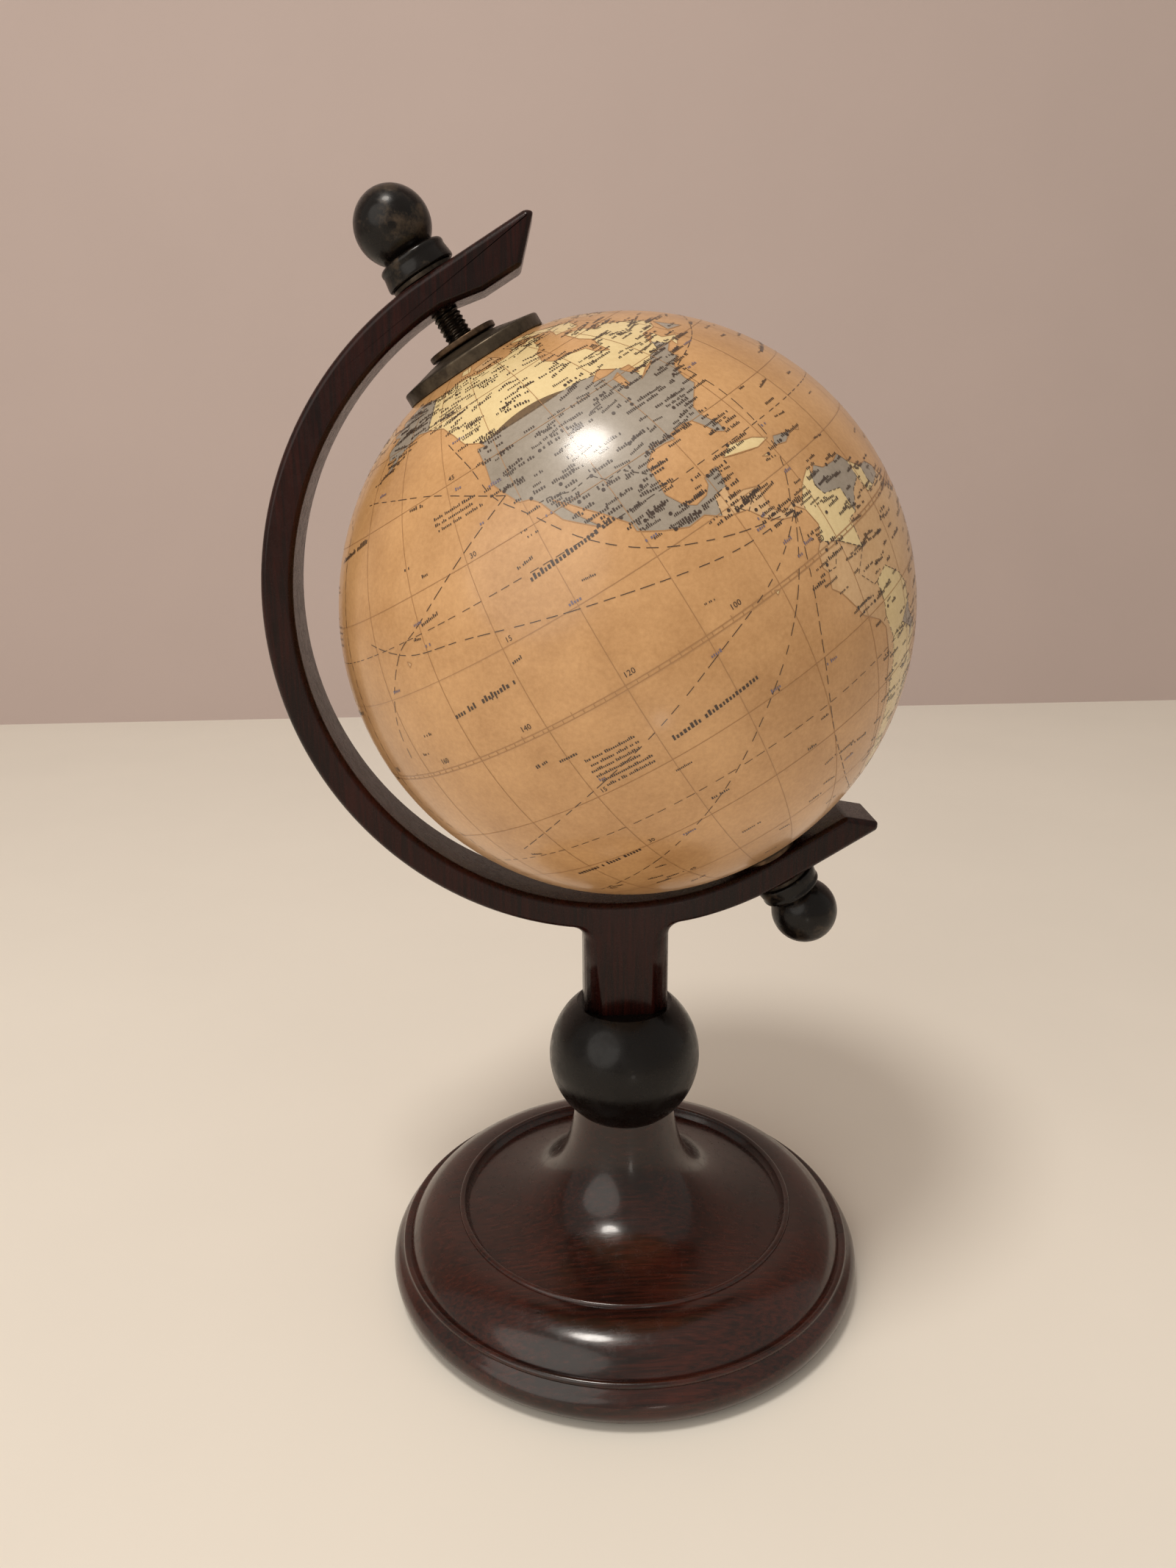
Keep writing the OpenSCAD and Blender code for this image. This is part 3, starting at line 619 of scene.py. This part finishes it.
class Ink:
    """Flat marks printed on the globe: strips, dots and strokes."""

    def __init__(self, lift=INK_LIFT):
        self.spots = []
        self.faces = []
        self.lift = lift

    def quad(self, corners):
        first = len(self.spots)
        self.spots.extend(on_globe(lon, lat, self.lift) for lon, lat in corners)
        self.faces.append(list(range(first, first + len(corners))))

    def strip(self, points, width, dash=None, step=2.0, where=None):
        """A line through the points, width in mm, dash as (length, gap) in degrees."""
        degree = math.degrees(1 / GLOBE_R)
        run = 0.0
        for (x1, y1), (x2, y2) in zip(points, points[1:]):
            flat = math.cos(math.radians((y1 + y2) / 2))
            length = math.hypot((x2 - x1) * flat, y2 - y1)
            if length < 1e-9:
                continue
            pace = min(step, dash[0] / 2) if dash else step
            pieces = max(1, math.ceil(length / pace))
            for i in range(pieces):
                s, t = i / pieces, (i + 1) / pieces
                middle = run + length * (s + t) / 2
                if dash and middle % (dash[0] + dash[1]) > dash[0]:
                    continue
                xs, ys = x1 + (x2 - x1) * s, y1 + (y2 - y1) * s
                xt, yt = x1 + (x2 - x1) * t, y1 + (y2 - y1) * t
                if where and not where(((xs + xt) / 2, (ys + yt) / 2)):
                    continue
                dx, dy = (x2 - x1) * flat / length, (y2 - y1) / length
                half = width / 2 * degree
                ox, oy = -dy * half, dx * half
                a = max(0.1, math.cos(math.radians(ys)))
                b = max(0.1, math.cos(math.radians(yt)))
                self.quad([(xs - ox / a, ys - oy), (xt - ox / b, yt - oy),
                           (xt + ox / b, yt + oy), (xs + ox / a, ys + oy)])
            run += length

    def dot(self, lon, lat, radius):
        size = math.degrees(radius / GLOBE_R)
        flat = math.cos(math.radians(lat))
        ring = [math.radians(45 * i) for i in range(8)]
        self.quad([(lon + size * math.cos(t) / flat, lat + size * math.sin(t)) for t in ring])

    def words(self, rng, lon, lat, letters, height, slope=0.0):
        """A row of small upright strokes that stands for a printed name. It spells nothing."""
        degree = math.degrees(1 / GLOBE_R)
        flat = max(0.2, math.cos(math.radians(lat)))
        x = lon
        for i in range(letters):
            tall = height * rng.choice((0.62, 0.62, 0.72, 1.0)) * degree
            wide = height * rng.uniform(0.3, 0.5) * degree / flat
            y = lat + slope * (x - lon)
            if rng.random() > 0.12:
                self.quad([(x, y), (x + wide, y), (x + wide, y + tall), (x, y + tall)])
            x += wide + height * 0.28 * degree / flat

    def number(self, text, lon, lat, height):
        """A plain number printed along the parallel."""
        curve = bpy.data.curves.new("number", "FONT")
        curve.body = text
        curve.size = 1.0
        curve.align_x = "CENTER"
        curve.resolution_u = 2
        holder = bpy.data.objects.new("number", curve)
        bpy.context.scene.collection.objects.link(holder)
        bpy.context.view_layer.update()
        flat = holder.to_mesh()
        degree = math.degrees(height / 0.7 / GLOBE_R)
        wide = degree / max(0.2, math.cos(math.radians(lat)))
        first = len(self.spots)
        self.spots.extend(on_globe(lon + v.co.x * wide, lat + v.co.y * degree, self.lift) for v in flat.vertices)
        self.faces.extend([first + v for v in face.vertices] for face in flat.polygons)
        holder.to_mesh_clear()
        bpy.data.objects.remove(holder)
        bpy.data.curves.remove(curve)

    def mesh(self, name):
        made = bpy.data.meshes.new(name)
        made.from_pydata(self.spots, [], self.faces)
        form = bmesh.new()
        form.from_mesh(made)
        centre = Vector((0, 0, GLOBE_Z * MM))
        form.normal_update()
        wrong = [f for f in form.faces if f.normal.dot(f.calc_center_median() - centre) < 0]
        bmesh.ops.reverse_faces(form, faces=wrong)
        form.to_mesh(made)
        form.free()
        return made


def smooth_route(points, steps=6):
    """A soft curve through the points."""
    out = []
    ends = [points[0]] + points + [points[-1]]
    for a, b, c, d in zip(ends, ends[1:], ends[2:], ends[3:]):
        for i in range(steps):
            t = i / steps
            out.append(tuple(
                0.5 * (2 * q + (r - p) * t + (2 * p - 5 * q + 4 * r - s) * t * t
                       + (3 * q - p - 3 * r + s) * t ** 3)
                for p, q, r, s in zip(a, b, c, d)))
    return out + [points[-1]]


def tone(label, value, about):
    """A colour property."""
    return bpy.props.StringProperty(name=label, description=about, default=value)


class GlobeSizes(bpy.types.PropertyGroup):
    """Sizes that can be changed without the CAD model."""
    map_step: bpy.props.FloatProperty(
        name="Map step", description="Spacing of the map's triangles in degrees", default=3.0, min=1, max=6)
    graticule: bpy.props.IntProperty(
        name="Graticule", description="Degrees between the printed meridians", default=15, min=5, max=45)
    line_width: bpy.props.FloatProperty(
        name="Line width", description="Width of the printed lines", default=0.0002, unit="LENGTH",
        subtype="DISTANCE")
    name_height: bpy.props.FloatProperty(
        name="Name height", description="Height of the printed names", default=0.00075, unit="LENGTH",
        subtype="DISTANCE")
    stem_chamfer: bpy.props.FloatProperty(
        name="Stem chamfer", description="Width of the chamfers of the stem, which narrow along the arm",
        default=0.0044, unit="LENGTH", subtype="DISTANCE")
    lens: bpy.props.FloatProperty(
        name="Lens", description="Focal length of the camera in mm", default=27.085)
    lamp_size: bpy.props.FloatProperty(
        name="Lamp size", description="Width of the main soft lamp", default=0.24, unit="LENGTH",
        subtype="DISTANCE")
    seed: bpy.props.IntProperty(name="Seed", description="Order of the printed names", default=7)


class GlobeColours(bpy.types.PropertyGroup):
    """Colours as sRGB hex values."""
    sea_deep: tone("Sea, deep", "#B08250", "Darker tint of the printed seas")
    sea_pale: tone("Sea, pale", "#CFA06C", "Paler tint of the printed seas")
    cream_deep: tone("Cream, deep", "#D4BA86", "Darker tint of cream lands")
    cream_pale: tone("Cream, pale", "#E6D09C", "Paler tint of cream lands")
    grey_deep: tone("Grey, deep", "#8A7F70", "Darker tint of grey lands")
    grey_pale: tone("Grey, pale", "#A3988A", "Paler tint of grey lands")
    buff_deep: tone("Buff, deep", "#BC9263", "Darker tint of buff lands")
    buff_pale: tone("Buff, pale", "#D6B183", "Paler tint of buff lands")
    ink: tone("Ink", "#3A281C", "Names, towns and routes")
    faint: tone("Faint ink", "#A57A4E", "Graticule and borders")
    purple: tone("Purple ink", "#6E6273", "Route marks")
    wood_deep: tone("Mahogany, deep", "#1A0C08", "Dark grain of the base")
    wood_red: tone("Mahogany, red", "#3F1A11", "Red depth of the base")
    arm_deep: tone("Arm, deep", "#160806", "Dark grain of the arm")
    arm_red: tone("Arm, red", "#2E0F0A", "Red depth of the arm")
    lacquer: tone("Lacquer", "#0D0907", "Black lacquer of the ball and knobs")
    rubbed: tone("Rubbed lacquer", "#40352A", "Where the knobs are worn")
    bronze: tone("Bronze", "#5C5142", "Caps at the poles")
    floor: tone("Floor", "#F3EDE2", "Plain floor")
    wall: tone("Wall", "#BFAEA8", "Plain wall")


def paint_nodes(pairs):
    """Gives CAD nodes that stay in view their finish."""
    for name, material in pairs:
        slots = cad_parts[name].data.materials
        slots.clear()
        slots.append(material)


class Step(bpy.types.Operator):
    """Common ground of the builders."""
    bl_idname = "globe.step"
    bl_label = "Step"

    @property
    def sizes(self):
        return bpy.context.scene.globe_sizes

    @property
    def colours(self):
        return bpy.context.scene.globe_colours


class GLOBE_OT_base(Step):
    """Turned base, its felt and the bolt under it"""
    bl_idname = "globe.base"
    bl_label = "Base and felt"

    def execute(self, context):
        c = self.colours
        # lacquered mahogany, turned on a lathe: rings of gloss over a dark red-brown
        wood = polished_wood("mahogany_turned_lacquered", c.wood_deep, c.wood_red,
                             (per_mm(14), per_mm(0.7), per_mm(0.7)), 0.2)
        piece_of("base", turned("base", base_profile(), 192), "stand", ["base"], wood)
        # wool felt, pressed: matt and fuzzy
        felt = fibrous("felt_pressed_wool", "#241C17", "#3B2E25", 0.5, 0.95, 0.15)
        ring = [(12.3, 0.3), (12.6, 0)] + [(54.6, 0), (55, 0.3), (55, 0.95), (12.3, 0.95)]
        piece_of("base_felt", turned("base_felt", ring, 160), "stand", ["base_felt"], felt)
        # zinc-plated steel bolt and washer, machined: dull silver
        steel = aged_metal("steel_zinc_plated", "#77756F", "#A5A39B", 0.35)
        brass = aged_metal("brass_machined", "#8F7138", "#C7A35C", 0.3)
        paint_nodes([("column_bolt", steel), ("column_washer", steel), ("stem_insert", brass)])
        return {"FINISHED"}


class GLOBE_OT_ball(Step):
    """Black ball between the base and the stem"""
    bl_idname = "globe.ball"
    bl_label = "Ball knop"

    def execute(self, context):
        c = self.colours
        # black lacquer on a turned ball: nearly black with sharp reflections
        black = worn_lacquer("lacquer_black_turned_wood", c.lacquer, "#241E19", 0.1)
        start = math.degrees(math.asin((NECK_Z - BALL_Z) / BALL_R))
        end = math.degrees(math.asin((BALL_TOP - BALL_Z) / BALL_R))
        profile = [(4.2, NECK_Z)] + arc(0, BALL_Z, BALL_R, start, end, 56) + [(4.2, BALL_TOP)]
        piece_of("ball_knop", turned("ball_knop", profile, 128), "stand", ["ball_knop"], black)
        return {"FINISHED"}


def arm_outline():
    """The arm's front outline in mm as (x, z, edge width factor)."""
    ux, uz = math.cos(TILT), math.sin(TILT)

    def leaning(u, w):
        return (u * ux - w * math.sin(TILT), GLOBE_Z + u * uz + w * math.cos(TILT))

    def stem_side(side):
        x = side * (STEM_HALF + FILLET)
        z = ARM_Z - math.sqrt((ARM_OUT + FILLET) ** 2 - (x - ARM_X) ** 2)
        toward = math.degrees(math.atan2(ARM_Z - z, ARM_X - x))
        level = 0.0 if side < 0 else 180.0
        bend = arc(x, z, FILLET, toward, level, 8)
        share = ARM_OUT / (ARM_OUT + FILLET)
        on_ring = math.degrees(math.atan2((z - ARM_Z) * share, (x - ARM_X) * share))
        return bend, on_ring % 360

    left, left_at = stem_side(-1)
    right, right_at = stem_side(1)
    top_at = 90 + math.degrees(TILT)
    low_at = 270 + math.degrees(TILT)
    out = [leaning(25.5, 80.0) + (0.3,), leaning(24.2, 81.1) + (0.3,), leaning(12.0, 81.1) + (0.3,)]
    out += [(x, z, 0.3) for x, z in arc(ARM_X, ARM_Z, ARM_OUT, top_at, left_at - 0.3, 84)]
    out += [(x, z, 0.3 + 0.7 * i / 8) for i, (x, z) in enumerate(left)]
    out += [(-STEM_HALF, BALL_TOP, 1.0), (STEM_HALF, BALL_TOP, 1.0)]
    out += [(x, z, 1.0 - 0.7 * i / 8) for i, (x, z) in enumerate(right[::-1])]
    out += [(x, z, 0.3) for x, z in arc(ARM_X, ARM_Z, ARM_OUT, right_at + 0.3, low_at, 24)]
    out += [leaning(u, w) + (0.3,) for u, w in ((12, -74.3), (24.5, -74.3), (25.5, -72.7), (19.7, -67.5))]
    out += [(x, z, 0.3) for x, z in arc(ARM_X, ARM_Z, ARM_IN, low_at, top_at, 96)]
    out += [leaning(u, w) + (0.3,) for u, w in ((9, 72.6), (18, 72.6))]
    return out


class GLOBE_OT_arm(Step):
    """C shaped arm with its square stem, edges softened and chamfered"""
    bl_idname = "globe.arm"
    bl_label = "Arm and stem"

    def execute(self, context):
        c = self.colours
        # stained mahogany board, sawn and lacquered: almost black, red where light grazes it
        wood = polished_wood("mahogany_dark_sawn_lacquered", c.arm_deep, c.arm_red,
                             (per_mm(0.8), per_mm(0.8), per_mm(16)), 0.24, 0.35, 0.06, 0.2)
        outline = arm_outline()
        form = bmesh.new()
        weight = form.edges.layers.float.new("bevel_weight_edge")
        sides = []
        for y in (-ARM_HALF_W, ARM_HALF_W):
            sides.append([form.verts.new((x * MM, y * MM, z * MM)) for x, z, _ in outline])
        count = len(outline)
        form.faces.new(sides[0])
        form.faces.new(sides[1][::-1])
        for i in range(count):
            k = (i + 1) % count
            form.faces.new((sides[0][i], sides[0][k], sides[1][k], sides[1][i]))
        bmesh.ops.recalc_face_normals(form, faces=form.faces)
        for side in sides:
            for i in range(count):
                edge = form.edges.get((side[i], side[(i + 1) % count]))
                x1, z1, w1 = outline[i]
                x2, z2, w2 = outline[(i + 1) % count]
                flat_end = abs(z1 - BALL_TOP) < 0.01 and abs(z2 - BALL_TOP) < 0.01
                edge[weight] = 0.0 if flat_end else (w1 + w2) / 2
        for i in range(count):
            edge = form.edges.get((sides[0][i], sides[1][i]))
            if edge.calc_face_angle(0) > math.radians(30) and outline[i][2] < 0.9:
                edge[weight] = 0.12
        mesh = as_mesh(form, "arm", 0)
        arm = piece_of("arm", mesh, "stand", ["arm"], wood)
        soft = arm.modifiers.new("soften", "BEVEL")
        soft.limit_method = "WEIGHT"
        soft.offset_type = "OFFSET"
        soft.width = self.sizes.stem_chamfer
        soft.segments = 4
        soft.profile = 0.42
        soft.use_clamp_overlap = False
        arm.modifiers.new("shade", "WEIGHTED_NORMAL")
        return {"FINISHED"}


class GLOBE_OT_rod(Step):
    """Threaded rod through the globe"""
    bl_idname = "globe.rod"
    bl_label = "Threaded rod"

    def execute(self, context):
        # steel rod, rolled thread, blackened: dark with fine bright crests
        steel = aged_metal("steel_threaded_blackened", "#2B2623", "#6A6055", 0.34, 1.0, 1.5)
        mesh = screw("axle_rod", ROD_LOW, ROD_HIGH, ROD_R, THREAD, PITCH)
        piece_of("axle_rod", mesh, "stand", ["axle_rod"], steel, AXIS)
        return {"FINISHED"}


class GLOBE_OT_caps(Step):
    """Caps and washers at the two poles"""
    bl_idname = "globe.caps"
    bl_label = "Pole caps and washers"

    def execute(self, context):
        c = self.colours
        # stamped brass cap, antiqued: dark satin with warm rubbed places
        bronze = aged_metal("brass_stamped_antiqued", "#352D24", c.bronze, 0.4, 0.75, 4.0)
        darker = aged_metal("brass_washer_antiqued", "#3A2C20", "#6B5540", 0.38, 0.8, 2.5)
        north = ([(3.2, 61.4), (16.0, 61.4), (16.3, 61.6), (16.3, 63.7)]
                 + arc(15.8, 63.7, 0.5, 0, 75, 5)
                 + [(12.4, 64.9), (9.0, 65.7), (6.4, 66.2)]
                 + arc(5.6, 66.0, 0.37, 70, 90, 3) + [(3.2, 66.37)])
        piece_of("north_cap", turned("north_cap", north), "globe", ["north_cap"], bronze, AXIS)
        washer = ([(3.1, 66.4)] + arc(7.5, 66.7, 0.3, -90, 0, 4) + arc(7.5, 67.37, 0.3, 0, 90, 4)
                  + [(3.1, 67.67)])
        piece_of("north_washer", turned("north_washer", washer), "globe", ["north_washer"],
                 darker, AXIS)
        south = ([(3.2, -62.4), (11.7, -62.4), (12.0, -62.7), (12.0, -63.3), (11.0, -64.4), (9.3, -65.6)]
                 + [(9.0, -65.9), (3.2, -65.9)])
        piece_of("south_cap", turned("south_cap", south), "globe", ["south_cap"], bronze, AXIS)
        low = ([(3.1, -67.5)] + arc(7.5, -67.2, 0.3, -90, 0, 4) + arc(7.5, -66.3, 0.3, 0, 90, 4)
               + [(3.1, -66.0)])
        piece_of("south_washer", turned("south_washer", low), "stand", ["south_washer"],
                 darker, AXIS)
        return {"FINISHED"}


class GLOBE_OT_knobs(Step):
    """Two turned knobs with their washers and brass inserts"""
    bl_idname = "globe.knobs"
    bl_label = "Knobs"

    def execute(self, context):
        c = self.colours
        # black lacquer rubbed thin by fingers: greyish brown patches on a soft gloss
        lacquer = worn_lacquer("lacquer_black_worn_knob", c.lacquer, c.rubbed, 0.9)
        brass = aged_metal("brass_threaded_insert", "#8F7138", "#C7A35C", 0.3)
        washer = aged_metal("steel_washer_blackened", "#262220", "#4C443B", 0.4)
        for side, name in ((1, "top"), (-1, "bottom")):
            ring = ([(3.3, 0)] + arc(6.7, 0.3, 0.3, -90, 0, 4) + arc(6.7, 0.9, 0.3, 0, 90, 4) + [(3.3, 1.2)])
            node = name + "_knob_washer"
            piece_of(node, turned(node, ring), name + "_collar", [node], washer,
                     at_knob(side, 0))
            node = name + "_knob"
            piece_of(node, turned(node, knob_profile(KNOB_BORE)), name + "_grip", [node], lacquer,
                     at_knob(side, KNOB_WASHER))
            paint_nodes([(name + "_knob_insert", brass)])
        return {"FINISHED"}


class GLOBE_OT_map(Step):
    """Printed skin of the globe, with seas and lands as tinted paper"""
    bl_idname = "globe.map"
    bl_label = "Map"

    def execute(self, context):
        c = self.colours
        verts, faces, tints, coasts, lakes = land_regions(self.sizes.map_step)
        kinds = (("map_sea", c.sea_deep, c.sea_pale), ("map_cream", c.cream_deep, c.cream_pale),
                 ("map_grey", c.grey_deep, c.grey_pale), ("map_buff", c.buff_deep, c.buff_pale))
        for tint, (name, deep, pale) in enumerate(kinds):
            # printed paper under varnish: warm mottled print, clear gloss over it
            paper = varnished_paper("paper_varnished_" + name[4:], deep, pale)
            mine = [face for face, kind in zip(faces, tints) if kind == tint]
            nodes = ["map_skin"] if tint == SEA else []
            piece_of(name, skin_mesh(name, verts, mine), "globe", nodes, paper)
        # pressed fibre board halves, their joining ring and nylon bushes: inside, out of sight
        board = fibrous("board_pressed_fibre", "#5A4632", "#7D664B", 0.8, 0.9, 0.05)
        nylon = fibrous("nylon_moulded", "#C9C4B8", "#DAD6CB", 1.5, 0.45, 0.01)
        paint_nodes([(n, board) for n in ("globe_north_half", "globe_south_half", "equator_ring")])
        paint_nodes([("north_bush", nylon), ("south_bush", nylon)])

        width = self.sizes.line_width / MM
        height = self.sizes.name_height / MM
        rng = random.Random(self.sizes.seed)

        def on_land(p):
            return any(inside(p, r) for r in coasts) and not any(inside(p, g) for g in lakes)

        faint = Ink(INK_LIFT)
        gap = self.sizes.graticule
        for lon in range(-165, 191, gap):
            faint.strip([(lon, MAP_SOUTH + 0.2), (lon, MAP_NORTH - 0.2)], width * 0.6)
        for lat in range(-75, 76, gap):
            if lat:
                faint.strip([(MAP_WEST, lat), (MAP_EAST, lat)], width * 0.6)
        for off in (-0.35, 0.35):
            faint.strip([(MAP_WEST, off), (MAP_EAST, off)], width)
        for lon in range(-168, 191, 2):
            long = lon % 10 == 0
            faint.strip([(lon, -0.35), (lon, 0.9 if long else 0.35)], width * 0.8, step=3)
        for ring in coasts[:-1] + lakes:
            faint.strip(ring + ring[:1], width * 0.9)
        piece_of("map_faint_lines", faint.mesh("map_faint_lines"), "globe", [],
                 plain_ink("ink_faint_brown", c.faint))

        dark = Ink(INK_LIFT + 0.012)
        for lat in (23.4, -23.4, 66.6, -66.6):
            dark.strip([(MAP_WEST, lat), (MAP_EAST, lat)], width * 0.6, dash=(1.6, 1.1))
        dark.strip([(180, MAP_SOUTH + 1), (180, -50), (187.5, -44), (187.5, -16), (180, -5), (180, 48),
                    (170, 53), (190, 65)], width * 0.9, dash=(1.6, 1.0))
        for row in BORDERS.split(";"):
            dark.strip(points_of(row), width * 0.7, dash=(0.9, 0.5), step=1.2, where=on_land)
        for row in ROUTES.splitlines():
            dark.strip(smooth_route(points_of(row)), width * 0.75, dash=(2.0, 1.1))
        towns = points_of(CITIES)
        for lon, lat in towns:
            dark.dot(lon, lat, 0.36)
            dark.words(rng, lon + 0.9, lat + rng.uniform(-0.4, 0.5), rng.randint(5, 9), height)
        for ring in coasts[:4]:
            for i, (lon, lat) in enumerate(ring):
                if abs(lat) < 72 and rng.random() < 0.9:
                    long = rng.randint(4, 10)
                    dark.words(rng, lon + rng.uniform(-3.5, 0.5), lat + rng.uniform(-0.9, 0.9), long,
                               height * rng.uniform(0.7, 0.95))
        tries = 0
        while tries < 4600:
            tries += 1
            lon, lat = rng.uniform(MAP_WEST + 4, MAP_EAST - 14), rng.uniform(-56, 72)
            sea = not on_land((lon, lat))
            if sea and rng.random() > 0.06:
                continue
            dark.words(rng, lon, lat, rng.randint(4, 11), height * rng.uniform(0.65, 1.0),
                       rng.choice((0, 0, 0, 0.12, -0.12)))
        for lon, lat, rows in ((-133, -8, 6), (-25, 30, 3), (75, -25, 5), (-140, 40, 3), (165, 30, 4)):
            for k in range(rows):
                dark.words(rng, lon + rng.uniform(0, 1), lat - 1.15 * k, rng.randint(20, 26), height * 0.8)
        for lon in range(-160, 190, 20):
            dark.number(str(abs(lon if lon <= 180 else lon - 360)), lon + 1.6, 1.4, 1.1)
        for lat in range(-60, 61, 15):
            if lat:
                for lon in (-135, -30, 60, 165):
                    dark.number(str(abs(lat)), lon + 1.8, lat + 0.5, 1.0)
        for lon, lat, size in ((-125, 22, 15), (-150, 8, 12), (-118, -12, 16), (-48, 32, 13), (-20, -18, 14),
                               (70, -12, 13), (-155, -32, 14), (160, 12, 14), (175, 42, 12)):
            dark.words(rng, lon, lat, size + 9, height * 1.5, 0.08)
        piece_of("map_dark_lines", dark.mesh("map_dark_lines"), "globe", [],
                 plain_ink("ink_dark_brown", c.ink))

        purple = Ink(INK_LIFT + 0.02)
        for row in ROUTES.splitlines():
            path = smooth_route(points_of(row))
            for lon, lat in path[4::9]:
                purple.words(rng, lon + 0.5, lat + 0.7, rng.randint(3, 6), height * 0.95)
        piece_of("map_purple_marks", purple.mesh("map_purple_marks"), "globe", [],
                 plain_ink("ink_purple_grey", c.purple))
        return {"FINISHED"}


class GLOBE_OT_stage(Step):
    """Floor, wall, lamps, world and camera"""
    bl_idname = "globe.stage"
    bl_label = "Stage"

    def execute(self, context):
        scene = bpy.context.scene
        c = self.colours
        half, back, top = STAGE_HALF, WALL_BACK, WALL_TOP
        spots = [(-half, -half, 0), (half, -half, 0), (half, back, 0), (-half, back, 0)]
        wall = [(-half, back, -0.5), (half, back, -0.5), (half, back, top), (-half, back, top)]
        for name, corners, value in (("floor", spots, c.floor), ("wall", wall, c.wall)):
            mesh = bpy.data.meshes.new(name)
            mesh.from_pydata(corners, [], [(0, 1, 2, 3)])
            made = bpy.data.objects.new(name, mesh)
            scene.collection.objects.link(made)
            paint, tree, shader = fresh(name + "_matt_paint")
            place = add(tree, "TexCoord").outputs["Object"]
            soft = add(tree, "TexNoise", {"Vector": place, "Scale": per_mm(90), "Detail": 3.0})
            dim = tuple(v * 0.94 for v in colour(value)[:3]) + (1.0,)
            tint = add(tree, "Mix", {0: soft.outputs["Fac"], 6: dim, 7: colour(value)}, data_type="RGBA")
            finish_of(shader, tree, {"Base Color": tint.outputs[2], "Roughness": 0.75})
            mesh.materials.append(paint)
        centre = Vector((0, 0, GLOBE_Z * MM))
        for name, toward, away, size, power, tinted in LAMPS:
            light = bpy.data.lights.new(name, "AREA")
            light.shape = "DISK"
            light.size = size or self.sizes.lamp_size
            light.energy = power
            light.color = colour(tinted)[:3]
            holder = bpy.data.objects.new(name, light)
            scene.collection.objects.link(holder)
            spot = centre + Vector(toward).normalized() * away
            holder.location = spot
            holder.rotation_euler = (spot - centre).to_track_quat("Z", "Y").to_euler()
        world = bpy.data.worlds.new("studio")
        world.use_nodes = True
        world.node_tree.nodes["Background"].inputs["Color"].default_value = colour("#F4EBE0")
        world.node_tree.nodes["Background"].inputs["Strength"].default_value = 0.52
        scene.world = world
        data = bpy.data.cameras.new("camera")
        data.lens = self.sizes.lens
        data.sensor_width = 36
        data.clip_start = 0.01
        camera = bpy.data.objects.new("camera", data)
        scene.collection.objects.link(camera)
        turn = Matrix((CAMERA_RIGHT, CAMERA_UP, -CAMERA_AHEAD)).transposed().to_4x4()
        camera.matrix_world = Matrix.Translation(CAMERA_AT) @ turn
        scene.camera = camera
        scene.view_settings.view_transform = "Standard"
        return {"FINISHED"}


BUILDERS = (GLOBE_OT_stage, GLOBE_OT_base, GLOBE_OT_ball, GLOBE_OT_arm, GLOBE_OT_rod, GLOBE_OT_caps,
            GLOBE_OT_knobs, GLOBE_OT_map)


class GLOBE_PT_panel(bpy.types.Panel):
    """Lists the builders, sizes and colours"""
    bl_idname = "GLOBE_PT_panel"
    bl_label = "Globe"
    bl_space_type = "VIEW_3D"
    bl_region_type = "UI"
    bl_category = "Globe"

    def draw(self, context):
        for builder in BUILDERS:
            self.layout.operator(builder.bl_idname)
        for group in (context.scene.globe_sizes, context.scene.globe_colours):
            for name in group.__annotations__:
                self.layout.prop(group, name)


CLASSES = (GlobeSizes, GlobeColours) + BUILDERS + (GLOBE_PT_panel,)


def register():
    for one in CLASSES:
        bpy.utils.register_class(one)
    bpy.types.Scene.globe_sizes = bpy.props.PointerProperty(type=GlobeSizes)
    bpy.types.Scene.globe_colours = bpy.props.PointerProperty(type=GlobeColours)


def unregister():
    del bpy.types.Scene.globe_colours
    del bpy.types.Scene.globe_sizes
    for one in reversed(CLASSES):
        bpy.utils.unregister_class(one)


def main():
    register()
    for builder in BUILDERS:
        group, name = builder.bl_idname.split(".")
        getattr(getattr(bpy.ops, group), name)()


if __name__ == "__main__":
    main()
